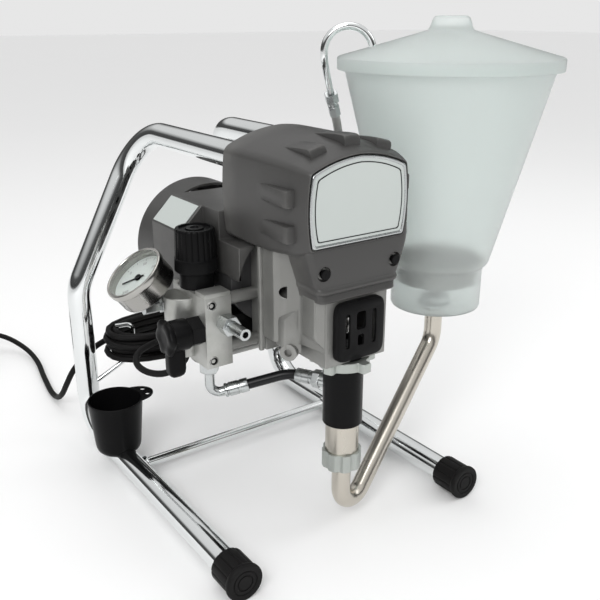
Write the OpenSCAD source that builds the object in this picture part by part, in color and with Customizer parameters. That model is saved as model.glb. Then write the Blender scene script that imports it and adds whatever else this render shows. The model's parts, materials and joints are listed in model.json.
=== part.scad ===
// Airless paint sprayer on a bent tube stand, with a gravity hopper.
// Millimetres. +X is to the right of someone facing the pump, +Y runs to the back, +Z is up.
// The machine is drawn from the middle of its front feet on the floor, and place() then
// moves it so that the origin is under the middle of its bounding box.

/* [Stand] */
// Outer diameter of the stand's tubes
tube_d = 28.6; // [25:0.1:32]
// Wall of the stand's tubes
tube_wall = 2; // [1.5:0.1:3]
// Distance between the axes of the two floor legs
leg_span = 299; // [285:1:320]
// Distance from the front of the feet to the axis of the rear uprights
stand_l = 402; // [385:1:440]
// Height at which the uprights start to lean in
knee_z = 206; // [190:1:225]
// Height of the axes of the top bars
top_z = 397; // [396:0.5:399]
// Distance between the axes of the two top bars
top_span = 100; // [98:0.5:102]
// Bend radius at the rear of the floor legs
rear_bend_r = 50; // [40:1:60]
// Bend radius of the knees and of the top corners
top_bend_r = 65; // [50:1:75]
// Diameter of the crossbar between the legs
crossbar_d = 12; // [8:0.5:16]
// Distance of the crossbar from the front of the feet
crossbar_y = 260; // [220:1:290]
// Diameter of the rubber feet
foot_d = 40; // [36:0.5:48]
// Length of a rubber foot
foot_l = 36; // [25:1:50]
// Thickness of a foot's closed end
foot_end = 6; // [3:0.5:10]
// Depth of the flat worn on the underside of a foot
foot_flat = 0.4; // [0.2:0.1:1]

/* [Drive] */
// Half width of the drive housing at its front
throat_w = 76; // [70:1:80]
// Width of the drive housing at its rear flange
housing_w = 124; // [118:1:128]
// Height of the underside of the drive housing
housing_z = 206; // [200:1:210]
// Height of the top of the drive housing's gear case
housing_top = 385; // [380:1:388]
// Distance of the housing's front face from the front of the feet
housing_y = 25; // [25:0.5:28]
// Distance of the pump's axis from the front of the feet
pump_y = 45; // [44:0.5:48]
// Height of the crankshaft
crank_z = 315; // [313:1:318]
// Throw of the crank, which is half the pump's stroke
crank_r = 10; // [6:0.5:11]
// Sideways place of the motor's axis
motor_x = -28; // [-30:0.5:-27]
// Height of the motor's axis
motor_z = 274; // [272:0.5:276]
// Radius of the motor's case
motor_r = 50; // [46:0.5:52]
// Distance of the motor's rear end from the front of the feet
motor_end = 270; // [260:1:280]
// Radius of the motor's shaft
motor_shaft_r = 5; // [4:0.25:5.5]
// Radius of the fan shroud
shroud_r = 75; // [70:1:78]
// Depth of the fan shroud
shroud_l = 47; // [42:1:55]
// Running clearance of the shafts, the rod and the knobs
running_gap = 0.05; // [0.02:0.01:0.1]
// Gap between pieces that move apart
part_gap = 0.4; // [0.3:0.05:0.6]

/* [Gears] */
// Teeth of the motor pinion and of the crank's pinion
pinion_teeth = 12; // [11:1:13]
// Teeth of the first reduction gear
first_teeth = 54; // [52:1:55]
// Teeth of the crank gear
crank_teeth = 42; // [41:1:43]
// Module of the first pair of gears
first_module = 1; // [0.98:0.01:1.02]
// Module of the second pair of gears
second_module = 1.5; // [1.48:0.01:1.52]

/* [Cover] */
// Width of the front cover
cover_w = 143; // [142:0.5:145]
// Height of the front cover's lower edge
cover_z = 318; // [314:1:322]
// Height of the front cover's crown
cover_top = 427; // [426:0.5:430]
// Length of the front cover from front to back
cover_l = 132; // [126:1:134]
// Wall of the front cover
cover_wall = 2.5; // [2:0.1:3]
// Width of the bevel round the cover's front face
cover_bevel = 12; // [8:0.5:14]

/* [Pump] */
// Diameter of the pump's black cylinder
cylinder_d = 42; // [40:0.5:44]
// Height of the black cylinder's lower end
cylinder_z = 130; // [126:1:134]
// Diameter of the lower cylinder
lower_d = 35.5; // [32:0.5:38]
// Height of the lower cylinder's lower end
lower_z = 86; // [82:1:92]
// Diameter of the piston rod
rod_d = 18; // [14:0.5:20]
// Diameter of the suction pipe
pipe_d = 20.6; // [18:0.2:22]
// Wall of the suction pipe
pipe_wall = 1.5; // [1:0.1:2]
// Bend radius of the suction pipe's lower turn
pipe_turn_r = 22.5; // [20:0.5:26]
// Slope of the suction pipe above the floor
pipe_slope = 43.5; // [42.5:0.5:44.5]
// Clearance between the suction pipe and the floor
pipe_lift = 14; // [8:0.5:18]

/* [Hopper] */
// Sideways place of the hopper's axis
hopper_x = 174; // [172:0.5:178]
// Distance of the hopper's axis from the front of the feet
hopper_y = 93; // [90:0.5:96]
// Radius of the hopper's rim
rim_r = 117; // [115:1:120]
// Radius of the hopper's body where the cone starts
cone_r = 58; // [57:0.5:59]
// Radius of the hopper's lower cup
cup_r = 52; // [50:0.5:54]
// Height of the hopper's lower cup
cup_h = 52; // [46:1:56]
// Height of the hopper's cone
cone_h = 215; // [207:1:222]
// Wall of the hopper
hopper_wall = 2.5; // [2:0.1:3.5]
// Diameter of the return tube
return_d = 8; // [6:0.5:9]

/* [Manifold] */
// Width of the manifold block
manifold_w = 30; // [28:0.5:32]
// Depth of the manifold block
manifold_l = 70; // [66:1:74]
// Height of the manifold block
manifold_h = 76; // [72:1:80]
// Diameter of the pressure knob
knob_d = 43; // [38:1:48]
// Height of the pressure knob
knob_h = 46; // [38:1:52]
// Diameter of the gauge's case
gauge_d = 66; // [60:1:70]
// Depth of the gauge's case
gauge_l = 28; // [24:1:32]
// Lean of the gauge to the left
gauge_lean = 38; // [30:1:45]
// Diameter of the pressure hose
hose_d = 11; // [9:0.5:13]

/* [Cord and cup] */
// Diameter of the mains cord
cord_d = 8; // [7.6:0.1:8.2]
// Radius of the drip cup at its rim
drip_r = 33; // [30:0.5:36]
// Height of the drip cup's rim
drip_z = 89; // [84:1:94]

/* [Hidden] */
$fn = 72;
hole_fn = 48;

tube_r = tube_d / 2;
tube_in = tube_r - tube_wall;
leg_head_z = foot_d / 2 - foot_flat;
leg_tilt = asin((leg_head_z - tube_r) / stand_l);
leg_dir = [0, cos(leg_tilt), -sin(leg_tilt)];
rear_corner_z = tube_r - rear_bend_r * tan((90 + leg_tilt) / 2) * sin(leg_tilt);
bar_front = 98;
wire_r = 3;
seam = 0.05;
seam_reach = 0.8;

pinion_module_r = first_module * pinion_teeth / 2;
first_r = first_module * first_teeth / 2;
second_pinion_r = second_module * pinion_teeth / 2;
crank_gear_r = second_module * crank_teeth / 2;
first_centres = pinion_module_r + first_r;
second_centres = second_pinion_r + crank_gear_r;
// The idler's axis lies where circles of the two centre distances cross, to the right of the motor.
span_x = -motor_x;
span_z = crank_z - motor_z;
span = norm([span_x, span_z]);
span_along = (first_centres ^ 2 - second_centres ^ 2 + span ^ 2) / (2 * span);
span_across = sqrt(first_centres ^ 2 - span_along ^ 2);
idler_x = motor_x + (span_along * span_x + span_across * span_z) / span;
idler_z = motor_z + (span_along * span_z - span_across * span_x) / span;

gear_case_y = 66;
gear_case_end = 98;
bell_y = 105;
bell_end = 132;
crank_gear_y = 70;
crank_gear_l = 9;
first_gear_y = 86;
first_gear_l = 8;
crank_shaft_r = 8;
idler_shaft_r = 4;
crank_disc_y = 62;
rod_r = rod_d / 2;
link_y = pump_y - 5;
link_l = 10;
link_z = crank_z - crank_r;
rod_top = housing_z + 17 + crank_r + 10;
cylinder_r = cylinder_d / 2;
nut_h = 10;

shroud_y = motor_end - 2;
shroud_end = shroud_y + shroud_l;
shroud_wall = 3;
fan_y = motor_end + 17;

cover_x = -3.5;
cover_y = 20;
chin_y = cover_y + 2;
screw_x = 43;
screw_z = 306;
screw_l = 20;
cover_end = cover_y + cover_l;
guard_w = 60;
guard_z = 211;
guard_h = 62;
guard_t = 7;

pipe_r = pipe_d / 2;
pipe_run = norm([hopper_x, hopper_y - pump_y]);
pipe_heading = atan2(hopper_y - pump_y, hopper_x);
pipe_low = pipe_lift + pipe_r + pipe_turn_r - pipe_turn_r * tan((90 + pipe_slope) / 2);
pipe_high = pipe_low + pipe_run * tan(pipe_slope);
hopper_z = pipe_high + 46;
flange_r = 18.8;
flange_h = 6;
cone_z = hopper_z + cup_h;
rim_z = cone_z + cone_h;
rim_h = 8;
lid_rise = 31;
lid_r = rim_r + part_gap + 2.4;
lid_knob_h = 14;

manifold_x = -120;
manifold_y = 115;
manifold_z = 193;
manifold_mid = manifold_x + manifold_w / 2;
manifold_top = manifold_z + manifold_h;
arm_y = 124;
arm_r = 6.5;
arm_zs = [211, 262];
knob_y = 159;
knob_base_h = 16;
valve_y = 130;
valve_z = 232;
valve_l = 14;
outlet_x = -98;
outlet_z = 240;
nipple_r = 6.2;
gauge_at = [-147, 184, 266];
gauge_r = gauge_d / 2;
gauge_feed_z = 247;

hook_dir = 145;
hook_out = rim_r + 17;
hook_in = 82;
hook_r = (hook_out - hook_in) / 2;
hook_z = rim_z + 17;

box_x = -108;
box_y = cover_end + 2;
box_end = 255;
box_z = 245;
box_top = 345;
box_chamfer = 26;
box_right = -12;
box_notch_x = -80;
box_notch_y = manifold_y + manifold_l + 1;
bell_left = -56;
switch_x = -84;
switch_z = 315;
gland_x = -93;
gland_y = 200;

port_angle = 120;
port_z = 172;
port_out = 62;
elbow_at = [manifold_mid, 140, 151];
port_dir = [cos(port_angle), sin(port_angle), 0];
pump_at = [0, pump_y, 0];
port_corner = pump_at + [0, 0, port_z] + port_out * port_dir;

cord_r = cord_d / 2;
hank_at = [-35, 385];
hank_half = 40;
hank_r = 50;
hank_top = 140;
loop_pitch = 9;
loop_rise = 9;
loop_layers = 4;
loop_turns = 2;
hank_waist = 0.02;
coil_at = [-265, 736];
coil_r = 51;
coil_start = 60;
ring_count = 24;
form_sides = 6;
cord_sides = 8;

drip_at = [-leg_span / 2, 306];
drip_h = 70;
drip_wall = 2;

// Bounding box of the machine without its cord
low_x = gauge_at.x - gauge_l * sin(gauge_lean) - gauge_r * cos(gauge_lean);
high_x = hopper_x + lid_r;
low_y = hopper_y - lid_r;
high_y = stand_l + tube_r;
mid_x = (low_x + high_x) / 2;
mid_y = (low_y + high_y) / 2;

// Inner points of the cord's way from its gland to the hank, and from the hank to the coil
lead_points = [[-99, 209, 165], [-111, 233, 142], [-121, 264, 133], [-122, 296, 133], [-105, 321, 137]];
floor_points = [[-107, 444, 107], [-133, 448, 91], [-150, 455, 70], [-158, 466, 47], [-161, 482, 26],
                [-161, 507, 10], [-160, 540, 5], [-152, 600, 4.3], [-144, 655, 6], [-146, 702, 11],
                [-162, 740, 21], [-185, 759, 29]];
coil_tail = 40;
stub = 24;

// Helpers

function unit(v) = v / norm(v);
function square_to(d) = abs(d.z) > 0.9 ? unit(cross([1, 0, 0], d)) : unit(cross([0, 0, 1], d));
function between(a, b) = acos(max(-1, min(1, unit(a) * unit(b))));

module place() translate([-mid_x, -mid_y, 0]) children();

// Rigid frame with its X, Y and Z along three unit vectors
module axes_at(p, x, y, z) multmatrix([
    [x.x, y.x, z.x, p.x],
    [x.y, y.y, z.y, p.y],
    [x.z, y.z, z.z, p.z],
    [0, 0, 0, 1]
]) children();

// Turns a child's +Z along d
module aim(p, d) {
    z = unit(d);
    x = square_to(z);
    axes_at(p, x, cross(z, x), z) children();
}

module along_y(p) translate(p) rotate([-90, 0, 0]) children();
module along_x(p) translate(p) rotate([0, 90, 0]) children();

module ring(outer, inner) difference() {
    circle(outer);
    if (inner > 0) circle(inner);
}

// Rod through corner points, with a bend of its own radius at each inner corner. The straights run
// a little way into the bends and are thinner by the seam, so that each rod is one solid.
module bent_rod(points, radii, r) {
    last = len(points) - 1;
    dirs = [for (i = [0:last - 1]) unit(points[i + 1] - points[i])];
    cuts = [for (i = [0:last]) i == 0 || i == last ? 0
        : radii[i - 1] * tan(between(dirs[i - 1], dirs[i]) / 2)];
    for (i = [0:last - 1]) {
        head = i == 0 ? 0 : seam_reach;
        tail = i == last - 1 ? 0 : seam_reach;
        aim(points[i] + dirs[i] * (cuts[i] - head), dirs[i])
            rotate(90) cylinder(h = norm(points[i + 1] - points[i]) - cuts[i] - cuts[i + 1] + head + tail, r = r - seam);
    }
    for (i = [1:last - 1]) {
        side = unit(cross(dirs[i - 1], dirs[i]));
        inward = cross(side, dirs[i - 1]);
        centre = points[i] - dirs[i - 1] * cuts[i] + inward * radii[i - 1];
        axes_at(centre, -inward, dirs[i - 1], side)
            rotate_extrude(angle = between(dirs[i - 1], dirs[i])) translate([radii[i - 1], 0]) circle(r);
    }
}

module bent_tube(points, radii, outer, inner) difference() {
    bent_rod(points, radii, outer);
    bent_rod(points, radii, inner);
}

// Spur gear outline with flat-sided teeth and room for backlash
module gear_outline(teeth, m) {
    pitch = 360 / teeth;
    tip = m * (teeth / 2 + 0.8);
    root = m * (teeth / 2 - 1.1);
    polygon([for (i = [0:teeth - 1], c = [[root, -0.29], [tip, -0.1], [tip, 0.1], [root, 0.29]])
        c.x * [cos((i + c.y) * pitch), sin((i + c.y) * pitch)]]);
}

// Smooth path through route points
function eased(a, b, c, d, t) = 0.5 * (2 * b + (c - a) * t + (2 * a - 5 * b + 4 * c - d) * t ^ 2
    + (3 * b - a - 3 * c + d) * t ^ 3);
function smooth_path(p, steps) = [
    for (i = [0:len(p) - 2], s = [0:steps - 1])
        eased(p[max(i - 1, 0)], p[i], p[i + 1], p[min(i + 2, len(p) - 1)], s / steps),
    p[len(p) - 1]
];

function tangents(path) = [for (i = [0:len(path) - 1])
    unit(path[min(i + 1, len(path) - 1)] - path[max(i - 1, 0)])];
function level(n, t) = unit(n - t * (n * t));
function carried(ts, list) = len(list) == len(ts) ? list
    : carried(ts, concat(list, [level(list[len(list) - 1], ts[len(list)])]));
function normals(ts) = carried(ts, [square_to(ts[0])]);

// Round tube swept along a path, as one closed mesh
module swept_tube(path, r, sides) {
    ts = tangents(path);
    ns = normals(ts);
    rings = len(path);
    points = [for (i = [0:rings - 1], k = [0:sides - 1])
        path[i] + r * (cos(360 * k / sides) * ns[i] + sin(360 * k / sides) * cross(ts[i], ns[i]))];
    walls = [for (i = [0:rings - 2], k = [0:sides - 1], half = [0, 1])
        let (a = i * sides + k, b = i * sides + (k + 1) % sides)
            half == 0 ? [a, a + sides, b + sides] : [a, b + sides, b]];
    starts = [for (k = [1:sides - 2]) [0, k, k + 1]];
    ends = [for (k = [1:sides - 2]) [0, k + 1, k] + [1, 1, 1] * (rings - 1) * sides];
    polyhedron(points, concat(starts, walls, ends));
}

// Loops laid in layers, which spiral in and out at a steady rate and step down a layer at each turn
function flattened(c) = c * (1.5 - 0.5 * c * c);
function soft(t) = t <= 0 ? 0 : t >= 1 ? 1 : t * t * (3 - 2 * t);
function loop_in(u) = let (l = min(floor(u / loop_turns), loop_layers - 1), f = u - l * loop_turns)
    l % 2 == 0 ? f : loop_turns - f;
function loop_fall(u, l = 1) = l >= loop_layers ? 0
    : soft((u - l * loop_turns + 0.25) / 0.5) + loop_fall(u, l + 1);
function loop_point(at, top, half, r_out, waist, a0, u) =
    let (r = r_out - loop_pitch * loop_in(u), a = a0 + 360 * u)
        [at.x + r * cos(a) + half * flattened(cos(a)),
         at.y + r * sin(a) * (1 - waist * sin(a) ^ 2),
         top - loop_rise * loop_fall(u)];
function loop_path(at, top, half, r_out, waist, a0, turns) =
    [for (i = [0:round(turns * ring_count)])
        loop_point(at, top, half, r_out, waist, a0, i / ring_count)];
function with_ends(p, tail = cord_d) = let (n = len(p) - 1)
    concat([p[0] - cord_d * unit(p[1] - p[0])], p, [p[n] + tail * unit(p[n] - p[n - 1])]);
function least_gap(p) = min([for (i = [0:len(p) - 1], j = [i + 12:1:len(p) - 1]) norm(p[i] - p[j])]) - cord_d;

hank_path = loop_path(hank_at, hank_top, hank_half, hank_r, hank_waist, -90, loop_layers * loop_turns + 0.5);
coil_top = cord_r + 3 * loop_rise;
coil_path = loop_path(coil_at, coil_top, 0, coil_r, 0, coil_start, loop_layers * loop_turns);

hank_line = with_ends(hank_path);
coil_line = with_ends(coil_path, coil_tail);
lead_route = concat([[gland_x, gland_y, box_z - 14], [gland_x, gland_y, box_z - 14 - stub]], lead_points,
    [hank_line[0] - (stub - 4) * unit(hank_line[1] - hank_line[0]), hank_line[0]]);
hank_last = hank_line[len(hank_line) - 1];
floor_route = concat([hank_last, hank_last + stub * unit(hank_last - hank_line[len(hank_line) - 2])],
    floor_points, [coil_line[0] - stub * unit(coil_line[1] - coil_line[0]), coil_line[0]]);

echo(hank_gap = least_gap(hank_path), coil_gap = least_gap(coil_path));
echo(hank_ends = [hank_line[0], hank_last], coil_ends = [coil_line[0], coil_line[len(coil_line) - 1]]);

// Stand

module frame_side(side) {
    bent_tube([
        [side * leg_span / 2, foot_end, leg_z(foot_end)],
        [side * leg_span / 2, stand_l, rear_corner_z],
        [side * leg_span / 2, stand_l, knee_z],
        [side * top_span / 2, stand_l, top_z],
        [side * top_span / 2, bar_front, top_z]
    ], [rear_bend_r, top_bend_r, top_bend_r], tube_r, tube_in);
}

module left_frame_tube() place() color("gainsboro") frame_side(-1);
module right_frame_tube() place() color("gainsboro") frame_side(1);

function leg_z(y) = leg_head_z - y * sin(leg_tilt);

module crossbar() place() color("silver") difference() {
    along_x([-leg_span / 2, crossbar_y, leg_z(crossbar_y)]) cylinder(h = leg_span, d = crossbar_d);
    for (side = [-1, 1])
        aim([side * leg_span / 2, 0, leg_head_z], leg_dir)
            cylinder(h = stand_l, r = tube_r);
}

module foot(side) place() color([0.12, 0.12, 0.12]) difference() {
    aim([side * leg_span / 2, 0, leg_head_z], leg_dir) difference() {
        union() {
            cylinder(h = foot_end - 1, d = foot_d);
            cylinder(h = foot_l, d = foot_d - 2);
            for (i = [1:3]) translate([0, 0, foot_l * i / 4]) cylinder(h = 3, d = foot_d - 1);
        }
        translate([0, 0, foot_end]) cylinder(h = foot_l, r = tube_r);
        for (r = [foot_d / 5, foot_d / 3]) translate([0, 0, -1]) linear_extrude(1.8) ring(r + 0.6, r - 0.6);
    }
    translate([side * leg_span / 2 - foot_d, -foot_d, -10]) cube([2 * foot_d, 2 * foot_d, 10]);
}

module left_foot() foot(-1);
module right_foot() foot(1);

// Hook on the left upright that holds the hank
hook_root = [-leg_span / 2 + tube_r - 3, stand_l - 8, 76];
hook_turn = [-88, hank_at.y, hank_top - 3 * loop_rise - cord_r - wire_r];
module cord_hook() place() color("silver") difference() {
    bent_rod([hook_root, hook_turn, hook_turn + [0, 0, 42], hook_turn + [-24, 0, 44]],
        [9, 9], wire_r);
    translate([-leg_span / 2, stand_l, 0]) cylinder(h = knee_z, r = tube_r);
}

module drip_cup() place() color([0.1, 0.1, 0.1]) difference() {
    union() {
        translate([drip_at.x, drip_at.y, drip_z - drip_h])
            cylinder(h = drip_h, r1 = drip_r - 6, r2 = drip_r);
        translate([drip_at.x, drip_at.y - 10, drip_z - 3]) cube([drip_r + 16, 20, 3]);
    }
    translate([drip_at.x, drip_at.y, leg_z(drip_at.y) + tube_r + 4])
        cylinder(h = drip_h, r1 = drip_r - 6, r2 = drip_r - drip_wall);
    aim([drip_at.x, 0, leg_head_z], leg_dir) cylinder(h = stand_l, r = tube_r);
    translate([drip_at.x - tube_r, 0, -1]) cube([tube_d, stand_l, leg_z(drip_at.y) + 1]);
    for (y = [-5, 5]) translate([drip_at.x + drip_r + 10, drip_at.y + y, 0]) cylinder(h = 200, r = 2.4, $fn = hole_fn);
}

// Drive

module housing_plan() polygon([
    [-throat_w / 2, housing_y], [throat_w / 2, housing_y], [throat_w / 2 + 6, 60], [housing_w / 2, 80],
    [housing_w / 2, bell_y], [-housing_w / 2, bell_y], [-housing_w / 2, 80], [-throat_w / 2 - 6, 60]
]);

module drive_housing() place() color([0.62, 0.61, 0.59]) difference() {
    union() {
        translate([0, 0, housing_z + 16]) linear_extrude(housing_top - housing_z - 16) housing_plan();
        translate([-throat_w / 2, housing_y, housing_z]) cube([throat_w, 50, 17]);
        translate([bell_left, bell_y - 1, 203]) cube([-2 * bell_left, bell_end - bell_y + 1, housing_top - 203]);
        for (side = [-1, 1]) {
            along_y([side * screw_x, chin_y + cover_wall, screw_z]) cylinder(h = 50, r = 6);
            translate([side * top_span / 2 - 12, 96, housing_top - 1]) cube([24, 34, top_z - housing_top]);
        }
    }
    // Throat in front of the crank, its window and the gear case
    translate([-32, housing_y + 6, housing_z + 17]) cube([64, 36, 130]);
    translate([-24, housing_y - 1, housing_z + 17]) cube([48, 20, 43]);
    translate([-37, gear_case_y, 243]) cube([75, gear_case_end - gear_case_y, 112]);
    // Bores for the pump, the shafts and the stand's top bars
    translate([0, pump_y, housing_z - 1]) cylinder(h = 20, r = cylinder_r);
    along_y([0, 90, crank_z]) cylinder(h = 24, r = crank_shaft_r + running_gap);
    along_y([idler_x, 90, idler_z]) cylinder(h = 20, r = idler_shaft_r + running_gap);
    along_y([motor_x, 90, motor_z]) cylinder(h = 60, r = motor_shaft_r + running_gap);
    for (side = [-1, 1]) along_y([side * top_span / 2, bar_front, top_z]) cylinder(h = 60, r = tube_r);
    // Bores for the cover screws and seats of the housing screws
    for (side = [-1, 1]) along_y([side * screw_x, cover_y, screw_z]) cylinder(h = screw_l, r = 3);
    for (side = [-1, 1], z = [232, 276]) along_y([side * 52, 70, z]) cylinder(h = 26, r = 6);
}

module housing_screws() place() color([0.1, 0.1, 0.1])
    for (side = [-1, 1], z = [232, 276]) along_y([side * 52, 88, z]) difference() {
        cylinder(h = 8, r = 5);
        translate([0, 0, -1]) cylinder(h = 5, r = 2.9, $fn = 6);
    }

module cover_outline(w, low, high, round_r) {
    crown = 22;
    crown_r = (w * w / 4 + crown * crown) / (2 * crown);
    hull() {
        for (side = [-1, 1]) {
            translate([side * (w / 2 - round_r), low + round_r]) circle(round_r, $fn = 24);
            translate([side * (w / 2 - round_r), high - crown - round_r + 9]) circle(round_r, $fn = 24);
        }
        intersection() {
            translate([0, high - crown_r]) circle(crown_r, $fn = 160);
            translate([-w / 2 + round_r, high - crown + 2]) square([w - 2 * round_r, crown]);
        }
    }
}

module cover_block(inset) {
    back_w = cover_w - 2 * inset;
    translate([cover_x, 0, 0]) rotate([90, 0, 0]) mirror([0, 0, 1]) hull() {
        translate([0, 0, cover_y + inset])
            linear_extrude(1) cover_outline(back_w - 2 * cover_bevel, cover_z + cover_bevel - inset, cover_top - cover_bevel - inset, 8);
        translate([0, 0, cover_y + cover_bevel * 1.6 + inset])
            linear_extrude(cover_l - cover_bevel * 1.6) cover_outline(back_w, cover_z - inset, cover_top - inset, 14);
    }
}

module chin(inset) rotate([90, 0, 0]) mirror([0, 0, 1]) translate([0, 0, chin_y + inset])
    linear_extrude(36) polygon([
        [-62 + inset, cover_z + 20], [-52 + inset, 297], [-46 + inset, 276 - inset],
        [46 - inset, 276 - inset], [52 - inset, 297], [62 - inset, cover_z + 20]
    ]);

// Raised rib, drawn along +Y and growing out of the face it stands on
module rib(width) translate([-width / 2, 0, -1]) rotate([90, 0, 90])
    linear_extrude(width) polygon([[0, 0], [8, 5], [14, 5], [44, 0]]);

module front_cover() place() color([0.25, 0.25, 0.26]) difference() {
    union() {
        difference() {
            cover_block(0);
            translate([0, cover_l, 0]) translate([-100, cover_y, 0]) cube([200, 60, 600]);
        }
        chin(0);
        for (side = [-1, 1], z = [345, 378])
            translate([cover_x + side * cover_w / 2, cover_y + 26, z]) rotate([0, side * 90, 0]) rib(12);
        for (x = [-38, 0, 38])
            translate([cover_x + x, cover_y + 26, cover_top - 1 - abs(x) / 6]) rib(14);
    }
    cover_block(cover_wall);
    chin(cover_wall);
    // Recesses for the chin screws
    for (side = [-1, 1]) along_y([side * screw_x, cover_y - 1, screw_z]) cylinder(h = 20, r = 3.1, $fn = hole_fn);
    translate([0, 0, housing_z + 16]) linear_extrude(housing_top - housing_z) offset(delta = part_gap) housing_plan();
}

module cover_screws() place() color([0.15, 0.15, 0.15])
    for (side = [-1, 1]) {
        along_y([side * screw_x, chin_y - 3, screw_z]) cylinder(h = 3, r = 5);
        along_y([side * screw_x, chin_y - 1, screw_z]) cylinder(h = screw_l - 1, r = 3);
    }

module cover_plate() place() color([0.82, 0.83, 0.85])
    translate([cover_x, cover_y, 0]) rotate([90, 0, 0]) linear_extrude(1.2)
        cover_outline(cover_w - 2 * cover_bevel - 4, cover_z + cover_bevel + 1, cover_top - cover_bevel - 4, 7);

module pump_guard() place() color([0.08, 0.08, 0.08]) {
    guard_y = housing_y - part_gap - guard_t;
    difference() {
        translate([-guard_w / 2, guard_y, guard_z]) cube([guard_w, guard_t, guard_h]);
        translate([-guard_w / 2 + 3, guard_y + 3, guard_z + 3]) cube([guard_w - 6, guard_t, guard_h - 6]);
        for (x = [-18, 13]) translate([x, 0, guard_z + 16]) cube([5, 40, 31]);
        translate([-6, 0, guard_z + 30]) cube([11, 40, 18]);
        translate([-4, 0, guard_z + 15]) cube([7, 40, 12]);
        translate([0, pump_y, 0]) cylinder(h = housing_z + 17, r = cylinder_r + 2 * part_gap);
    }
    // Clips that reach into the window of the housing
    for (side = [-1, 1]) translate([side * (23 - part_gap) - 1, guard_y + 2, guard_z + 20]) cube([2, 14, 24]);
}

module motor_body() place() color([0.22, 0.22, 0.23]) difference() {
    union() {
        along_y([motor_x, bell_end, motor_z]) cylinder(h = motor_end - bell_end, r = motor_r);
        along_y([motor_x, bell_end, motor_z]) cylinder(h = 8, r = motor_r + 2);
    }
    along_y([motor_x, bell_end - 1, motor_z])
        cylinder(h = motor_end, r = motor_shaft_r + running_gap);
    for (i = [0:11]) translate([motor_x, motor_end, motor_z]) rotate([0, i * 30, 0])
        translate([30, -14, -3]) cube([12, 20, 6]);
}

module fan_shroud() place() color([0.25, 0.25, 0.26]) difference() {
    union() {
        along_y([motor_x, shroud_y, motor_z]) rotate_extrude() polygon([
            [shroud_r - shroud_wall, 0], [shroud_r, 0], [shroud_r, shroud_l - 4], [shroud_r - 4, shroud_l],
            [0, shroud_l], [0, shroud_l - shroud_wall], [shroud_r - shroud_wall - 2, shroud_l - shroud_wall],
            [shroud_r - shroud_wall, shroud_l - shroud_wall - 2]
        ]);
        along_y([motor_x, shroud_y - 6, motor_z]) linear_extrude(12) ring(motor_r + 3, motor_r);
        for (i = [0:5]) translate([motor_x, shroud_y + 1, motor_z]) rotate([0, i * 60 + 15, 0])
            translate([motor_r + 1, 0, -4]) cube([shroud_r - motor_r - 2, 4, 8]);
    }
    // Air slots through the rear wall
    for (i = [0:11]) translate([motor_x, shroud_end - 10, motor_z]) rotate([0, i * 30, 0])
        translate([22, 0, -4.5]) cube([38, 20, 9]);
}

module fan() place() color([0.15, 0.15, 0.15]) difference() {
    union() {
        along_y([motor_x, fan_y, motor_z]) cylinder(h = 18, r = 13);
        along_y([motor_x, fan_y, motor_z]) cylinder(h = 2, r = shroud_r - 17);
        for (i = [0:8]) translate([motor_x, fan_y + 1, motor_z]) rotate([0, i * 40, 0])
            translate([11, 0, -1]) cube([shroud_r - 29, 16, 2]);
    }
    along_y([motor_x, fan_y - 1, motor_z]) cylinder(h = 20, r = motor_shaft_r);
}

first_bearing = atan2(idler_z - motor_z, idler_x - motor_x);
second_bearing = atan2(crank_z - idler_z, -idler_x);

// Gear whose outline is drawn in the XZ plane, seen from the front
module gear_at(p, teeth, m, length, turn) translate(p) rotate([90, 0, 0]) mirror([0, 0, 1])
    linear_extrude(length) rotate(turn) gear_outline(teeth, m);

module motor_shaft() place() color("silver") union() {
    along_y([motor_x, first_gear_y + first_gear_l - 1, motor_z])
        cylinder(h = fan_y + 19 - first_gear_y - first_gear_l, r = motor_shaft_r - 1);
    along_y([motor_x, gear_case_end, motor_z]) cylinder(h = fan_y + 18 - gear_case_end, r = motor_shaft_r);
    gear_at([motor_x, first_gear_y, motor_z], pinion_teeth, first_module, first_gear_l, first_bearing);
}

module idler_gear() place() color("silver") union() {
    gear_at([idler_x, first_gear_y, idler_z], first_teeth, first_module, first_gear_l,
        first_bearing + 180 + 180 / first_teeth);
    gear_at([idler_x, crank_gear_y - 1, idler_z], pinion_teeth, second_module, crank_gear_l + 2, second_bearing);
    along_y([idler_x, crank_gear_y, idler_z]) cylinder(h = 38, r = idler_shaft_r);
}

module crank_gear() place() color("silver") union() {
    gear_at([0, crank_gear_y, crank_z], crank_teeth, second_module, crank_gear_l,
        second_bearing + 180 + 180 / crank_teeth);
    along_y([0, crank_disc_y, crank_z]) cylinder(h = 9, r = 20);
    along_y([0, crank_gear_y, crank_z]) cylinder(h = 40, r = crank_shaft_r);
    along_y([0, link_y + link_l + part_gap, link_z]) cylinder(h = crank_disc_y - link_y - link_l, r = 8);
}

module connecting_rod() place() color("silver") difference() {
    union() {
        along_y([0, link_y, link_z]) cylinder(h = link_l, r = 16);
        translate([-6, link_y, rod_top]) cube([12, link_l, link_z - rod_top - 10]);
        translate([0, pump_y, rod_top - 8]) cylinder(h = 16, r = rod_r + 4);
    }
    along_y([0, link_y - 1, link_z]) cylinder(h = link_l + 2, r = 8.2);
    translate([0, pump_y, rod_top - 9]) cylinder(h = 9, r = rod_r);
}

module piston_rod() place() color("silver") translate([0, pump_y, lower_z + 14])
    cylinder(h = rod_top - lower_z - 14, r = rod_r);

// Pump

module pump_cylinder() place() color([0.1, 0.1, 0.1]) difference() {
    translate([0, pump_y, cylinder_z]) cylinder(h = housing_z + 16 - cylinder_z, r = cylinder_r);
    translate([0, pump_y, cylinder_z - 1]) cylinder(h = 200, r = rod_r + running_gap);
    translate([0, pump_y, cylinder_z - 1]) cylinder(h = 26, r = rod_r + 4);
    aim([0, pump_y, port_z] + port_dir * (cylinder_r - 3), port_dir) cylinder(h = 20, r = 8);
}

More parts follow.
